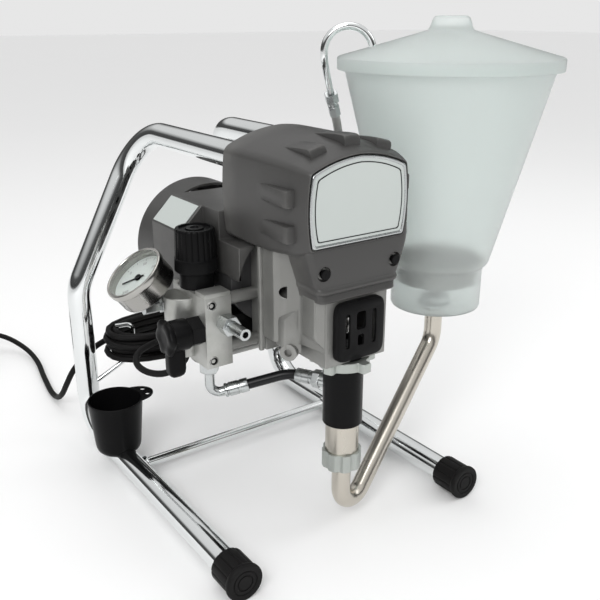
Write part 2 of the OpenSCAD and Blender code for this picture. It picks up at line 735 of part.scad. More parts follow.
module pump_port() place() color("silver") difference() {
    union() {
        aim([0, pump_y, port_z] + port_dir * (cylinder_r - 3), port_dir) cylinder(h = 10, r = 8);
        aim([0, pump_y, port_z] + port_dir * (cylinder_r + 4), port_dir) cylinder(h = 8, r = 10, $fn = 6);
    }
    aim([0, pump_y, port_z] + port_dir * (cylinder_r - 4), port_dir) cylinder(h = 30, r = 3.5);
}

module lock_nut() place() color("silver") translate([0, pump_y, housing_z - nut_h]) difference() {
    union() {
        cylinder(h = nut_h, r = cylinder_r + 6);
        for (i = [0:3]) rotate(45 + 90 * i) translate([cylinder_r, -5, 0]) cube([14, 10, nut_h]);
    }
    translate([0, 0, -1]) cylinder(h = nut_h + 2, r = cylinder_r);
}

module lower_cylinder() place() color("gainsboro") difference() {
    translate([0, pump_y, lower_z]) cylinder(h = cylinder_z - lower_z, d = lower_d);
    translate([0, pump_y, lower_z - 1]) cylinder(h = 100, r = rod_r + 3);
}

module inlet_nut() place() color("silver") translate([0, pump_y, lower_z - 9]) difference() {
    cylinder(h = 20, r = lower_d / 2 + 3.4);
    translate([0, 0, 9]) cylinder(h = 30, d = lower_d);
    translate([0, 0, -1]) cylinder(h = 40, r = pipe_r);
    for (i = [0:7]) rotate(i * 45) translate([lower_d / 2 + 7.5, 0, -1]) cylinder(h = 40, r = 6, $fn = hole_fn);
}

function pipe_point(s, z) = [s * cos(pipe_heading), pump_y + s * sin(pipe_heading), z];

module suction_pipe() place() color("gainsboro") bent_tube([
    pipe_point(0, lower_z),
    pipe_point(0, pipe_low),
    pipe_point(pipe_run, pipe_high),
    pipe_point(pipe_run, hopper_z - flange_h)
], [pipe_turn_r, 30], pipe_r, pipe_r - pipe_wall);

// Hopper

module at_hopper(z) translate([hopper_x, hopper_y, z]) children();

module hopper_fitting() place() color("silver") at_hopper(hopper_z - flange_h) difference() {
    union() {
        cylinder(h = flange_h, r = flange_r);
        cylinder(h = flange_h + 11, r = 13);
        translate([0, 0, flange_h + 4]) cylinder(h = 7, r = flange_r - 1, $fn = 6);
    }
    translate([0, 0, -1]) cylinder(h = 40, r = pipe_r - pipe_wall);
}

module hopper() place() color([0.93, 0.94, 0.92], 0.6) at_hopper(hopper_z) rotate_extrude() polygon([
    [13, 0], [cup_r, 0], [cup_r, cup_h - 3], [cone_r, cup_h],
    [rim_r - 5, cup_h + cone_h - 3], [rim_r, cup_h + cone_h], [rim_r, cup_h + cone_h + rim_h],
    [rim_r - hopper_wall, cup_h + cone_h + rim_h], [rim_r - hopper_wall, cup_h + cone_h + 2],
    [rim_r - 5 - hopper_wall, cup_h + cone_h - 2], [cone_r - hopper_wall, cup_h + 2],
    [cup_r - hopper_wall, cup_h + 2], [cup_r - hopper_wall, 4], [13, 4]
]);

module strainer() place() color([0.3, 0.3, 0.3]) at_hopper(cone_z + 2) rotate_extrude() polygon([
    [0, -24], [cup_r - hopper_wall - 4, -24], [cup_r - hopper_wall - 2, 0],
    [cone_r - hopper_wall - 0.5, 0], [cone_r - hopper_wall - 0.5, 2.5], [cup_r - hopper_wall - 3.5, 2.5],
    [cup_r - hopper_wall - 5.5, -22], [0, -22]
]);

function hook_point(s, z) = [hopper_x + s * cos(hook_dir), hopper_y + s * sin(hook_dir), z];
hook_foot = [86, 186, rim_z - 28];
hook_end = hook_foot + 34 * unit(hook_foot - hook_point(hook_out, hook_z - 9));

module hopper_lid() place() color([0.93, 0.94, 0.92], 0.7) difference() {
    at_hopper(rim_z) rotate_extrude() polygon([
        [rim_r + part_gap, -1], [lid_r, -1], [lid_r, rim_h + 4], [24.5, rim_h + lid_rise], [17, rim_h + lid_rise + lid_knob_h],
        [0, rim_h + lid_rise + lid_knob_h], [0, rim_h + lid_rise - 2.5], [22, rim_h + lid_rise - 2.5], [rim_r + part_gap, rim_h + part_gap]
    ]);
    at_hole() cylinder(h = 60, r = return_d / 2 + 2 * part_gap);
}

module at_hole() translate(hook_point(hook_in, rim_z - 10)) children();

module hook_rod(r) {
    translate(hook_point(hook_in, rim_z - 14)) cylinder(h = hook_z - rim_z + 14 + seam_reach, r = r - seam);
    translate(hook_point((hook_in + hook_out) / 2, hook_z)) rotate([90, 0, hook_dir])
        rotate_extrude(angle = 180) translate([hook_r, 0]) circle(r);
    bent_rod([hook_point(hook_out, hook_z + seam_reach), hook_point(hook_out, hook_z - 9), hook_foot], [25], r);
}

module return_tube() place() color("gainsboro") difference() {
    hook_rod(return_d / 2);
    hook_rod(return_d / 2 - 1);
}

module return_fittings() place() color("silver") difference() {
    aim(hook_foot, hook_end - hook_foot) union() {
        translate([0, 0, part_gap]) cylinder(h = 12, r = 8, $fn = 6);
        translate([0, 0, 11]) cylinder(h = 8, r = 5.5);
        translate([0, 0, 18]) cylinder(h = 14, r = 7, $fn = 6);
    }
    aim(hook_foot, hook_end - hook_foot) cylinder(h = 60, r = return_d / 2 - 1);
}

// Flexible return line from the manifold, under the motor and up behind the cover
module return_hose() place() color([0.15, 0.15, 0.16]) bent_tube([
    [manifold_mid, 174, manifold_z],
    [manifold_mid, 174, 178],
    [86, 174, 178],
    [112, 188, 300],
    hook_foot + (hook_end - hook_foot) * 58 / 34,
    hook_foot + (hook_end - hook_foot) * 32 / 34
], [10, 25, 80, 40], return_d / 2 + 1, return_d / 2 - 1);

// Control box

module control_box() place() color([0.22, 0.22, 0.23]) difference() {
    union() {
        rotate([90, 0, 0]) mirror([0, 0, 1]) translate([0, 0, box_notch_y]) linear_extrude(box_end - box_notch_y) polygon([
            [box_x, box_z], [-72, box_z], [box_right, 300], [box_right, box_top],
            [box_x + box_chamfer, box_top], [box_x, box_top - box_chamfer]
        ]);
        translate([box_notch_x, box_y, 280]) cube([box_right - box_notch_x, box_notch_y - box_y + 1, box_top - 280]);
        translate([box_notch_x, 114, 280]) cube([bell_left - box_notch_x - 1, box_y - 113, cover_z - 3 - 280]);
    }
    along_y([motor_x, 100, motor_z]) cylinder(h = 300, r = motor_r);
    along_y([motor_x, 100, motor_z]) cylinder(h = 40 + part_gap, r = motor_r + 2);
    // Pocket of the switch and its pivot, and the cable gland
    translate([switch_x - 12, box_end - 4, switch_z - 14]) cube([24, 10, 28]);
    along_x([switch_x - 14, box_end + 0.5, switch_z]) cylinder(h = 28, r = 1.2 + running_gap, $fn = hole_fn);
    translate([gland_x, gland_y, box_z - 1]) cylinder(h = 6, r = 7, $fn = hole_fn);
}

module control_plate() place() color([0.82, 0.83, 0.85])
    translate([box_x + box_chamfer / 2, box_notch_y + 3, box_top - box_chamfer / 2]) rotate([0, -45, 0])
        translate([-box_chamfer * 0.64, 0, 0]) cube([box_chamfer * 1.28, box_end - box_notch_y - 6, 1]);

module power_switch() place() color([0.1, 0.1, 0.1]) union() {
    translate([switch_x, box_end + 0.5, switch_z]) rotate([7, 0, 0]) translate([-9.5, -1.5, -12]) cube([19, 3, 24]);
    along_x([switch_x - 13.5, box_end + 0.5, switch_z]) cylinder(h = 27, r = 1.2);
}

module belly_pan() place() color([0.1, 0.1, 0.1]) difference() {
    translate([-72, 140, 205]) cube([92, 100, 30]);
    along_y([motor_x, 100, motor_z]) cylinder(h = 300, r = motor_r);
    along_y([motor_x, 100, motor_z]) cylinder(h = 40 + part_gap, r = motor_r + 2);
}

// Manifold

module manifold() place() color([0.75, 0.75, 0.74]) difference() {
    union() {
        translate([manifold_x, manifold_y, manifold_z]) cube([manifold_w, manifold_l, manifold_h]);
        translate([manifold_x, 163, manifold_z + 5]) cylinder(h = manifold_h - 12, r = 20);
    }
    translate([manifold_mid, knob_y, manifold_top - 20]) cylinder(h = 30, r = 8);
    // Seats of the prime valve's and the gauge's hexagons
    along_x([manifold_x - 25, valve_y, valve_z]) cylinder(h = 25, r = 16);
    along_x([manifold_x - 25, gauge_at.y, gauge_feed_z]) cylinder(h = gauge_at.x + 18 - manifold_x + 25, r = 9.5);
    along_x([manifold_x - 10, valve_y, valve_z]) cylinder(h = 22, r = 8);
    along_x([manifold_x - 25, gauge_at.y, gauge_feed_z]) cylinder(h = 31, r = 6);
    along_y([outlet_x, manifold_y - 1, outlet_z]) cylinder(h = 13, r = 6);
    translate([manifold_mid, elbow_at.y, manifold_z - 1]) cylinder(h = 14, r = 5);
    for (z = [manifold_z + 8, manifold_top - 8]) along_y([manifold_x + 7, manifold_y - 1, z])
        cylinder(h = 9, r = 4.5, $fn = hole_fn);
}

module manifold_screws() place() color([0.1, 0.1, 0.1])
    for (z = [manifold_z + 8, manifold_top - 8]) along_y([manifold_x + 7, manifold_y - 0.5, z]) difference() {
        cylinder(h = 8.5, r = 4.5);
        translate([0, 0, -1]) cylinder(h = 5, r = 2.4, $fn = 6);
    }

module manifold_arms() place() color([0.6, 0.59, 0.57])
    for (z = arm_zs) along_x([manifold_x + manifold_w, arm_y, z]) cylinder(h = bell_left - manifold_x - manifold_w, r = arm_r);

module outlet_fitting() place() color("silver") difference() {
    union() {
        along_y([outlet_x, manifold_y - 14, outlet_z]) cylinder(h = 14, r = 11, $fn = 6);
        along_y([outlet_x, manifold_y - 14, outlet_z]) cylinder(h = 26, r = 6);
        along_y([outlet_x, manifold_y - 40, outlet_z]) cylinder(h = 27, r = nipple_r);
    }
    along_y([outlet_x, manifold_y - 41, outlet_z]) cylinder(h = 60, r = 3.2);
}

hose_dir = unit(port_corner - elbow_at);

module hose_elbow() place() color("silver") difference() {
    union() {
        translate([elbow_at.x, elbow_at.y, manifold_z - 16]) cylinder(h = 16, r = 10.5, $fn = 6);
        translate([elbow_at.x, elbow_at.y, manifold_z - 16]) cylinder(h = 28, r = 5);
        bent_rod([
            [elbow_at.x, elbow_at.y, manifold_z - 15],
            elbow_at,
            elbow_at + 16 * hose_dir
        ], [10], 5.5);
    }
    translate([elbow_at.x, elbow_at.y, manifold_z - 12]) cylinder(h = 60, r = 3);
}

hose_from = elbow_at + 16 * hose_dir;
hose_to = pump_at + [0, 0, port_z] + (cylinder_r + 12) * port_dir;
module pressure_hose() place() color([0.08, 0.08, 0.08])
    bent_rod([hose_from, port_corner, hose_to], [40], hose_d / 2);

module ferrule(p, d) aim(p, d) linear_extrude(26) ring(hose_d / 2 + 2, hose_d / 2);

module hose_ferrules() place() color("silver") {
    ferrule(hose_from, hose_dir);
    aim(hose_to, port_dir) linear_extrude(20) ring(hose_d / 2 + 2, hose_d / 2);
}

module knob_base() place() color([0.1, 0.1, 0.1]) translate([manifold_mid, knob_y, manifold_top]) difference() {
    union() {
        cylinder(h = knob_base_h, r = 18);
        translate([0, 0, -20]) cylinder(h = 21, r = 8);
    }
    translate([0, 0, -10]) cylinder(h = 60, r = 4 + running_gap);
}

module pressure_knob() place() color([0.08, 0.08, 0.08])
    translate([manifold_mid, knob_y, manifold_top + knob_base_h + part_gap]) difference() {
        union() {
            cylinder(h = knob_h, r = knob_d / 2 - 1);
            cylinder(h = 14, r = knob_d / 2 + 1);
            translate([0, 0, -22]) cylinder(h = 23, r = 4);
            for (i = [0:11]) rotate(i * 30) translate([knob_d / 2 - 2, -2.4, 0]) cube([2, 4.8, knob_h - 3]);
        }
        translate([0, 0, knob_h - 3]) linear_extrude(4) ring(knob_d / 2 - 5, 7);
    }

module prime_valve_body() place() color([0.1, 0.1, 0.1]) difference() {
    union() {
        along_x([manifold_x - valve_l, valve_y, valve_z]) cylinder(h = valve_l, r = 16, $fn = 6);
        along_x([manifold_x - valve_l, valve_y, valve_z]) cylinder(h = valve_l + 12, r = 8);
    }
    along_x([manifold_x - valve_l - 1, valve_y, valve_z]) cylinder(h = 24, r = 4 + running_gap);
}

module prime_valve_handle() place() color([0.08, 0.08, 0.08])
    translate([manifold_x - valve_l - part_gap, valve_y, valve_z]) union() {
        along_x([-26, 0, 0]) cylinder(h = 26, r = 16.5);
        along_x([-1, 0, 0]) cylinder(h = 21, r = 4);
        translate([-23, -8, -44]) cube([19, 16, 40]);
    }

// Gauge, drawn with its face along +Z
module at_gauge(z = 0) translate(gauge_at) rotate([0, -gauge_lean, 0]) translate([0, 0, z]) children();

module gauge_stem() place() color("silver") union() {
    along_x([gauge_at.x + 4, gauge_at.y, gauge_feed_z]) cylinder(h = manifold_x + 6 - gauge_at.x - 4, r = 6);
    along_x([gauge_at.x + 10, gauge_at.y, gauge_feed_z]) cylinder(h = 8, r = 9.5, $fn = 6);
    along_x([gauge_at.x - 9, gauge_at.y, gauge_feed_z]) cylinder(h = 17, r = 8, $fn = 6);
    at_gauge(-18) cylinder(h = 12, r = 5.5);
}

module gauge_case() place() color("gainsboro") difference() {
    union() {
        at_gauge() cylinder(h = gauge_l, r = gauge_r - 1);
        at_gauge(gauge_l - 7) cylinder(h = 7, r = gauge_r);
        at_gauge(-6) cylinder(h = 8, r = 7);
    }
    at_gauge(gauge_l - 12) cylinder(h = 20, r = gauge_r - 3);
}

module gauge_dial() place() color("white") difference() {
    at_gauge(gauge_l - 12) cylinder(h = 1.5, r = gauge_r - 3);
    at_gauge(gauge_l - 13) cylinder(h = 4, r = 1.6 + running_gap, $fn = hole_fn);
}

module gauge_needle() place() color([0.08, 0.08, 0.08]) at_gauge(gauge_l - 11.9) union() {
    cylinder(h = 4, r = 1.6, $fn = hole_fn);
    translate([0, 0, 1.9]) cylinder(h = 2.1, r = 3.5);
    rotate(135) translate([-7, -0.7, 2.1]) cube([gauge_r - 5, 1.4, 1]);
}

module gauge_lens() place() color("white", 0.3) at_gauge(gauge_l - 5) cylinder(h = 2, r = gauge_r - 3);

// Cord

module cord_gland() place() color([0.08, 0.08, 0.08]) translate([gland_x, gland_y, box_z]) difference() {
    union() {
        translate([0, 0, -9]) cylinder(h = 9, r = 10, $fn = 6);
        translate([0, 0, -14]) cylinder(h = 19, r = 7);
    }
    translate([0, 0, -13]) cylinder(h = 30, r = cord_r - 1);
}

module cord_lead() place() color([0.1, 0.1, 0.1]) swept_tube(smooth_path(lead_route, 4), cord_r, cord_sides);
module cord_hank() place() color([0.1, 0.1, 0.1]) swept_tube(hank_line, cord_r, form_sides);
module cord_floor_run() place() color([0.1, 0.1, 0.1])
    swept_tube(smooth_path(floor_route, 4), cord_r, cord_sides);
module cord_coil() place() color([0.1, 0.1, 0.1]) swept_tube(coil_line, cord_r, form_sides);

plug_heading = coil_start + 90;
plug_at = coil_line[len(coil_line) - 1];
module mains_plug() place() color([0.1, 0.1, 0.1])
    translate([plug_at.x, plug_at.y, 0]) rotate(plug_heading) union() {
        translate([0, -7, 0]) cube([20, 14, 12]);
        translate([36, 0, 0]) cylinder(h = 20, r = 19);
        translate([36, 0, 20]) cylinder(h = 3, r = 16);
        for (y = [-9.5, 9.5]) translate([36, y, 22]) cylinder(h = 19, r = 2.4, $fn = hole_fn);
    }

left_frame_tube();
right_frame_tube();
crossbar();
left_foot();
right_foot();
cord_hook();
drip_cup();
drive_housing();
front_cover();
cover_plate();
cover_screws();
pump_guard();
housing_screws();
motor_body();
fan_shroud();
fan();
motor_shaft();
idler_gear();
crank_gear();
connecting_rod();
piston_rod();
pump_cylinder();
lock_nut();
lower_cylinder();
inlet_nut();
suction_pipe();
hopper_fitting();
hopper();
strainer();
hopper_lid();
return_tube();
return_fittings();
return_hose();
control_box();
control_plate();
power_switch();
belly_pan();
manifold();
manifold_screws();
manifold_arms();
outlet_fitting();
hose_elbow();
pressure_hose();
hose_ferrules();
pump_port();
knob_base();
pressure_knob();
prime_valve_body();
prime_valve_handle();
gauge_stem();
gauge_case();
gauge_dial();
gauge_needle();
gauge_lens();
cord_gland();
cord_lead();
cord_hank();
cord_floor_run();
cord_coil();
mains_plug();
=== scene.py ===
import json
import math

import bmesh
import bpy
from mathutils import Matrix, Vector


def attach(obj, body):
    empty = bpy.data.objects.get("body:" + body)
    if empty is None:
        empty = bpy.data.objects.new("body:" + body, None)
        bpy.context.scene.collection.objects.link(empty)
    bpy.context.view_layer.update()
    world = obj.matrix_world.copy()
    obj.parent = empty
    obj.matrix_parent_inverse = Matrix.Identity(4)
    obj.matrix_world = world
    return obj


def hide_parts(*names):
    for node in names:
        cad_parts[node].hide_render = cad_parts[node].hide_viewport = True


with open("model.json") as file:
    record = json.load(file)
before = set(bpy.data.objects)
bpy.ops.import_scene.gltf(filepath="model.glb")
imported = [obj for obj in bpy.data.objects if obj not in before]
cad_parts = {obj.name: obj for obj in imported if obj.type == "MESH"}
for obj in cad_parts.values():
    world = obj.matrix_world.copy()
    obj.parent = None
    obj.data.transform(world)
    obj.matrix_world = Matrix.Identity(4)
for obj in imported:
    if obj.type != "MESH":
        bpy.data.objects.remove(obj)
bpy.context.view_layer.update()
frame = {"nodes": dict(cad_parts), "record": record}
nodes = frame["nodes"]
bodyOf = {n: b for b, ns in frame["record"]["behaviour"]["bodies"].items() for n in ns}
middle = (51.7786, 194.75)  # middle of the machine, from between its front feet, in mm
print("frame loaded:", len(nodes), "nodes")


def at(x, y, z):
    return Vector(((x - middle[0]) / 1000, (y - middle[1]) / 1000, z / 1000))


# Camera, at the height of someone standing a metre away
cameraView = {"place": (-458.9, -532.8, 534.4), "yaw": 34.99, "pitch": 20.1, "lens": 47.07}
bpy.ops.object.camera_add(location=at(*cameraView["place"]))
camera = bpy.context.object
camera.rotation_euler = (math.radians(90 - cameraView["pitch"]), 0, -math.radians(cameraView["yaw"]))
camera.data.lens = cameraView["lens"]
camera.data.sensor_width = 36
camera.data.clip_start = 0.01
bpy.context.scene.camera = camera


# Cord: from its gland to the hank, across the floor, and into the coil
cord = {
    "diameter": 8,
    "gland": (-93, 200, 245),
    "leadPoints": [(-99, 209, 165), (-111, 233, 142), (-121, 264, 133), (-122, 296, 133), (-105, 321, 137)],
    "floorPoints": [
        (-107, 444, 107), (-133, 448, 91), (-150, 455, 70), (-158, 466, 47), (-161, 482, 26),
        (-161, 507, 10), (-160, 540, 5), (-152, 600, 4.3), (-144, 655, 6), (-146, 702, 11),
        (-162, 740, 21), (-185, 759, 29),
    ],
    "hank": {"x": -35, "y": 385, "top": 140, "half": 40, "radius": 50, "waist": 0.02, "start": -90,
             "loops": 8.5},
    "coil": {"x": -265, "y": 736, "top": 31, "half": 0, "radius": 51, "waist": 0, "start": 60, "loops": 8},
    "coilTail": 40,
    "stub": 24,
    "pitch": 9,
    "rise": 9,
    "layers": 4,
    "turnsInLayer": 2,
    "ringsInLoop": 24,
}


def eased(a, b, c, d, t):
    return 0.5 * (2 * b + (c - a) * t + (2 * a - 5 * b + 4 * c - d) * t**2 + (3 * b - a - 3 * c + d) * t**3)


def smoothPath(points, steps):
    p = [Vector(q) for q in points]
    last = len(p) - 1
    path = [
        eased(p[max(i - 1, 0)], p[i], p[i + 1], p[min(i + 2, last)], s / steps)
        for i in range(last)
        for s in range(steps)
    ]
    return path + [p[last]]


def loopFall(turn):
    fall = 0
    for layer in range(1, cord["layers"]):
        t = min(1, max(0, (turn - layer * cord["turnsInLayer"] + 0.25) / 0.5))
        fall += t * t * (3 - 2 * t)
    return fall


def loopPoint(wound, turn):
    layer = min(int(turn // cord["turnsInLayer"]), cord["layers"] - 1)
    inward = turn - layer * cord["turnsInLayer"]
    if layer % 2:
        inward = cord["turnsInLayer"] - inward
    r = wound["radius"] - cord["pitch"] * inward
    a = math.radians(wound["start"]) + 2 * math.pi * turn
    return Vector((
        wound["x"] + r * math.cos(a) + wound["half"] * math.cos(a) * (1.5 - 0.5 * math.cos(a) ** 2),
        wound["y"] + r * math.sin(a) * (1 - wound["waist"] * math.sin(a) ** 2),
        wound["top"] - cord["rise"] * loopFall(turn),
    ))


def loopLine(wound, tail):
    rings = round(wound["loops"] * cord["ringsInLoop"])
    path = [loopPoint(wound, i / cord["ringsInLoop"]) for i in range(rings + 1)]
    head = path[0] - cord["diameter"] * (path[1] - path[0]).normalized()
    return [head] + path + [path[-1] + tail * (path[-1] - path[-2]).normalized()]


def pathLength(path):
    return sum((b - a).length for a, b in zip(path, path[1:]))


hankLine = loopLine(cord["hank"], cord["diameter"])
coilLine = loopLine(cord["coil"], cord["coilTail"])
gx, gy, gz = cord["gland"]
stub = cord["stub"]
leadLine = smoothPath(
    [(gx, gy, gz - 14), (gx, gy, gz - 14 - stub)] + cord["leadPoints"]
    + [hankLine[0] - (stub - 4) * (hankLine[1] - hankLine[0]).normalized(), hankLine[0]], 4)
floorLine = smoothPath(
    [hankLine[-1], hankLine[-1] + stub * (hankLine[-1] - hankLine[-2]).normalized()] + cord["floorPoints"]
    + [coilLine[0] - stub * (coilLine[1] - coilLine[0]).normalized(), coilLine[0]], 4)
route = [at(*p) for p in leadLine + hankLine[1:] + floorLine[1:] + coilLine[1:]]


def tubeAlong(name, path, radius, sides):
    curve = bpy.data.curves.new(name, "CURVE")
    curve.dimensions = "3D"
    curve.bevel_depth = radius
    curve.bevel_resolution = sides
    curve.use_fill_caps = True
    spline = curve.splines.new("POLY")
    spline.points.add(len(path) - 1)
    for point, place in zip(spline.points, path):
        point.co = (*place, 1)
    spline.use_smooth = True
    tube = bpy.data.objects.new(name, curve)
    bpy.context.collection.objects.link(tube)
    return tube


mainsCord = tubeAlong("mainsCord", route, cord["diameter"] / 2000, 4)
print("cord length", round(pathLength(route), 3))


# Shared effects

def setInputs(node, values):
    for label, value in values.items():
        node.inputs[label].default_value = value


def newGroup(name, inputs, outputs):
    group = bpy.data.node_groups.new(name, "ShaderNodeTree")
    for label, value in inputs.items():
        socket = group.interface.new_socket(label, in_out="INPUT", socket_type="NodeSocketFloat")
        socket.default_value = value
    for label in outputs:
        group.interface.new_socket(label, in_out="OUTPUT", socket_type="NodeSocketFloat")
    return group, group.nodes.new("NodeGroupInput"), group.nodes.new("NodeGroupOutput")


def surfaceGroup(name, stretch):
    group, source, result = newGroup(name, {"Scale": 100, "Patch Scale": 12}, ["Grain", "Patches"])
    coords = group.nodes.new("ShaderNodeTexCoord")
    mapping = group.nodes.new("ShaderNodeMapping")
    mapping.inputs["Scale"].default_value = stretch
    group.links.new(coords.outputs["Object"], mapping.inputs["Vector"])
    for label, size, detail in (("Grain", "Scale", 3), ("Patches", "Patch Scale", 4)):
        noise = group.nodes.new("ShaderNodeTexNoise")
        setInputs(noise, {"Detail": detail, "Roughness": 0.6})
        vector = mapping.outputs["Vector"] if label == "Grain" else coords.outputs["Object"]
        group.links.new(vector, noise.inputs["Vector"])
        group.links.new(source.outputs[size], noise.inputs["Scale"])
        group.links.new(noise.outputs["Fac"], result.inputs[label])
    return group


def edgeGroup():
    group, source, result = newGroup("wornEdges", {"Break Up": 60}, ["Mask"])
    geometry = group.nodes.new("ShaderNodeNewGeometry")
    ramp = group.nodes.new("ShaderNodeMapRange")
    setInputs(ramp, {"From Min": 0.53, "From Max": 0.62})
    noise = group.nodes.new("ShaderNodeTexNoise")
    noise.inputs["Detail"].default_value = 5
    coords = group.nodes.new("ShaderNodeTexCoord")
    join = group.nodes.new("ShaderNodeMath")
    join.operation = "MULTIPLY"
    group.links.new(coords.outputs["Object"], noise.inputs["Vector"])
    group.links.new(source.outputs["Break Up"], noise.inputs["Scale"])
    group.links.new(geometry.outputs["Pointiness"], ramp.inputs["Value"])
    group.links.new(ramp.outputs["Result"], join.inputs[0])
    group.links.new(noise.outputs["Fac"], join.inputs[1])
    group.links.new(join.outputs["Value"], result.inputs["Mask"])
    return group


plainGrain = surfaceGroup("plainGrain", (1, 1, 1))
brushedAcross = surfaceGroup("brushedAcross", (1, 1, 14))
brushedAlong = surfaceGroup("brushedAlong", (14, 14, 1))
wornEdges = edgeGroup()


def finish(name, color, second, roughness, metallic=0, grain=None, scale=900, patches=14, bump=0.1,
           depth=0.0002, edge=None, specular=0.5):
    material = bpy.data.materials.new(name)
    material.use_nodes = True
    tree = material.node_tree
    shader = tree.nodes["Principled BSDF"]
    setInputs(shader, {"Metallic": metallic, "Specular IOR Level": specular})
    surface = tree.nodes.new("ShaderNodeGroup")
    surface.node_tree = grain or plainGrain
    setInputs(surface, {"Scale": scale, "Patch Scale": patches})
    blend = tree.nodes.new("ShaderNodeMix")
    blend.data_type = "RGBA"
    setInputs(blend, {"A": (*color, 1), "B": (*second, 1)})
    tree.links.new(surface.outputs["Patches"], blend.inputs["Factor"])
    tint = blend.outputs["Result"]
    if edge:
        worn = tree.nodes.new("ShaderNodeGroup")
        worn.node_tree = wornEdges
        over = tree.nodes.new("ShaderNodeMix")
        over.data_type = "RGBA"
        over.inputs["B"].default_value = (*edge, 1)
        tree.links.new(worn.outputs["Mask"], over.inputs["Factor"])
        tree.links.new(tint, over.inputs["A"])
        tint = over.outputs["Result"]
    tree.links.new(tint, shader.inputs["Base Color"])
    spread = tree.nodes.new("ShaderNodeMapRange")
    setInputs(spread, {"To Min": roughness[0], "To Max": roughness[1]})
    tree.links.new(surface.outputs["Patches"], spread.inputs["Value"])
    tree.links.new(spread.outputs["Result"], shader.inputs["Roughness"])
    relief = tree.nodes.new("ShaderNodeBump")
    setInputs(relief, {"Strength": bump, "Distance": depth})
    tree.links.new(surface.outputs["Grain"], relief.inputs["Height"])
    tree.links.new(relief.outputs["Normal"], shader.inputs["Normal"])
    return material


chrome = finish("chrome", (0.84, 0.86, 0.86), (0.75, 0.77, 0.77), (0.05, 0.12), 1, bump=0.02, scale=60)
stainless = finish("stainless", (0.52, 0.48, 0.42), (0.62, 0.59, 0.53), (0.2, 0.34), 1, brushedAcross, 260,
                   9, 0.12)
turnedSteel = finish("turnedSteel", (0.62, 0.61, 0.59), (0.75, 0.74, 0.72), (0.14, 0.28), 1, brushedAlong,
                     500, 20, 0.1)
brightZinc = finish("brightZinc", (0.58, 0.6, 0.6), (0.44, 0.46, 0.46), (0.18, 0.36), 1, None, 420, 30, 0.16)
mattZinc = finish("mattZinc", (0.5, 0.53, 0.5), (0.42, 0.44, 0.42), (0.4, 0.52), 0.85, None, 420, 30, 0.2)
darkPlastic = finish("darkPlastic", (0.043, 0.042, 0.041), (0.056, 0.055, 0.053), (0.36, 0.45), 0, None, 1500,
                     9, 0.3, edge=(0.16, 0.158, 0.15), specular=0.42)
blackPlastic = finish("blackPlastic", (0.003, 0.003, 0.0033), (0.006, 0.006, 0.0062), (0.28, 0.38), 0, None,
                      1300, 10, 0.2, edge=(0.02, 0.02, 0.02), specular=0.08)
blackSteel = finish("blackSteel", (0.003, 0.003, 0.0032), (0.005, 0.005, 0.0054), (0.24, 0.34), 0, None, 700,
                    16, 0.1, specular=0.1)
rubber = finish("rubber", (0.005, 0.0047, 0.0048), (0.009, 0.0086, 0.0085), (0.5, 0.64), 0, None, 1100, 18,
                0.3, specular=0.14)
hoseRubber = finish("hoseRubber", (0.007, 0.007, 0.008), (0.012, 0.012, 0.013), (0.24, 0.34), 0, None, 900,
                    30, 0.2, specular=0.22)
braid = finish("braid", (0.3, 0.3, 0.29), (0.44, 0.44, 0.43), (0.3, 0.45), 0.85, None, 2200, 60, 0.8, 0.0005)
satinPlate = finish("satinPlate", (0.52, 0.56, 0.54), (0.57, 0.61, 0.59), (0.42, 0.55), 0.25, brushedAcross,
                    120, 5, 0.05)
castGrey = finish("castGrey", (0.19, 0.19, 0.18), (0.25, 0.25, 0.24), (0.36, 0.48), 0.6, None, 520, 11, 0.5,
                  0.0004, edge=(0.5, 0.5, 0.48))
machinedBlock = finish("machinedBlock", (0.32, 0.325, 0.3), (0.42, 0.425, 0.395), (0.34, 0.48), 0.8, None,
                       380, 16, 0.35, 0.0003, edge=(0.8, 0.8, 0.8))
motorPaint = finish("motorPaint", (0.035, 0.035, 0.036), (0.05, 0.05, 0.051), (0.35, 0.48), 0, None, 900, 12,
                    0.25)
gaugeSteel = finish("gaugeSteel", (0.36, 0.35, 0.33), (0.5, 0.49, 0.47), (0.14, 0.26), 1, brushedAlong, 300,
                    12, 0.08)
dialInk = finish("dialInk", (0.25, 0.25, 0.25), (0.3, 0.3, 0.3), (0.5, 0.6), 0, None, 300, 8, 0.02)
whiteDial = finish("whiteDial", (0.62, 0.66, 0.63), (0.66, 0.7, 0.67), (0.5, 0.6), 0, None, 300, 8, 0.03)
wovenMesh = finish("wovenMesh", (0.2, 0.19, 0.18), (0.3, 0.29, 0.27), (0.4, 0.6), 0.7, None, 2500, 40, 0.6,
                   0.0006)


def hopperPlastic():
    shade = (0.9, 0.945, 0.93)
    material = finish("hopperPlastic", shade, shade, (0.25, 0.33), 0, None, 240, 7, 0.02)
    setInputs(material.node_tree.nodes["Principled BSDF"], {
        "Transmission Weight": 0.75, "IOR": 1.2, "Subsurface Weight": 0.1,
        "Subsurface Radius": (0.02, 0.022, 0.022), "Subsurface Scale": 1,
    })
    return material


def lensGlass():
    material = bpy.data.materials.new("lensGlass")
    material.use_nodes = True
    setInputs(material.node_tree.nodes["Principled BSDF"], {
        "Base Color": (0.97, 0.98, 0.98, 1), "Transmission Weight": 1, "Roughness": 0.02, "IOR": 1.05,
    })
    return material


hopperWhite = hopperPlastic()
clearLens = lensGlass()
print("materials made")


# Shared ways of working

def clearSelection():
    if bpy.context.object and bpy.context.object.mode != "OBJECT":
        bpy.ops.object.mode_set(mode="OBJECT")
    bpy.ops.object.select_all(action="DESELECT")


def pick(piece):
    clearSelection()
    piece.select_set(True)
    bpy.context.view_layer.objects.active = piece


def applyModifiers(piece):
    pick(piece)
    for modifier in list(piece.modifiers):
        bpy.ops.object.modifier_apply(modifier=modifier.name)


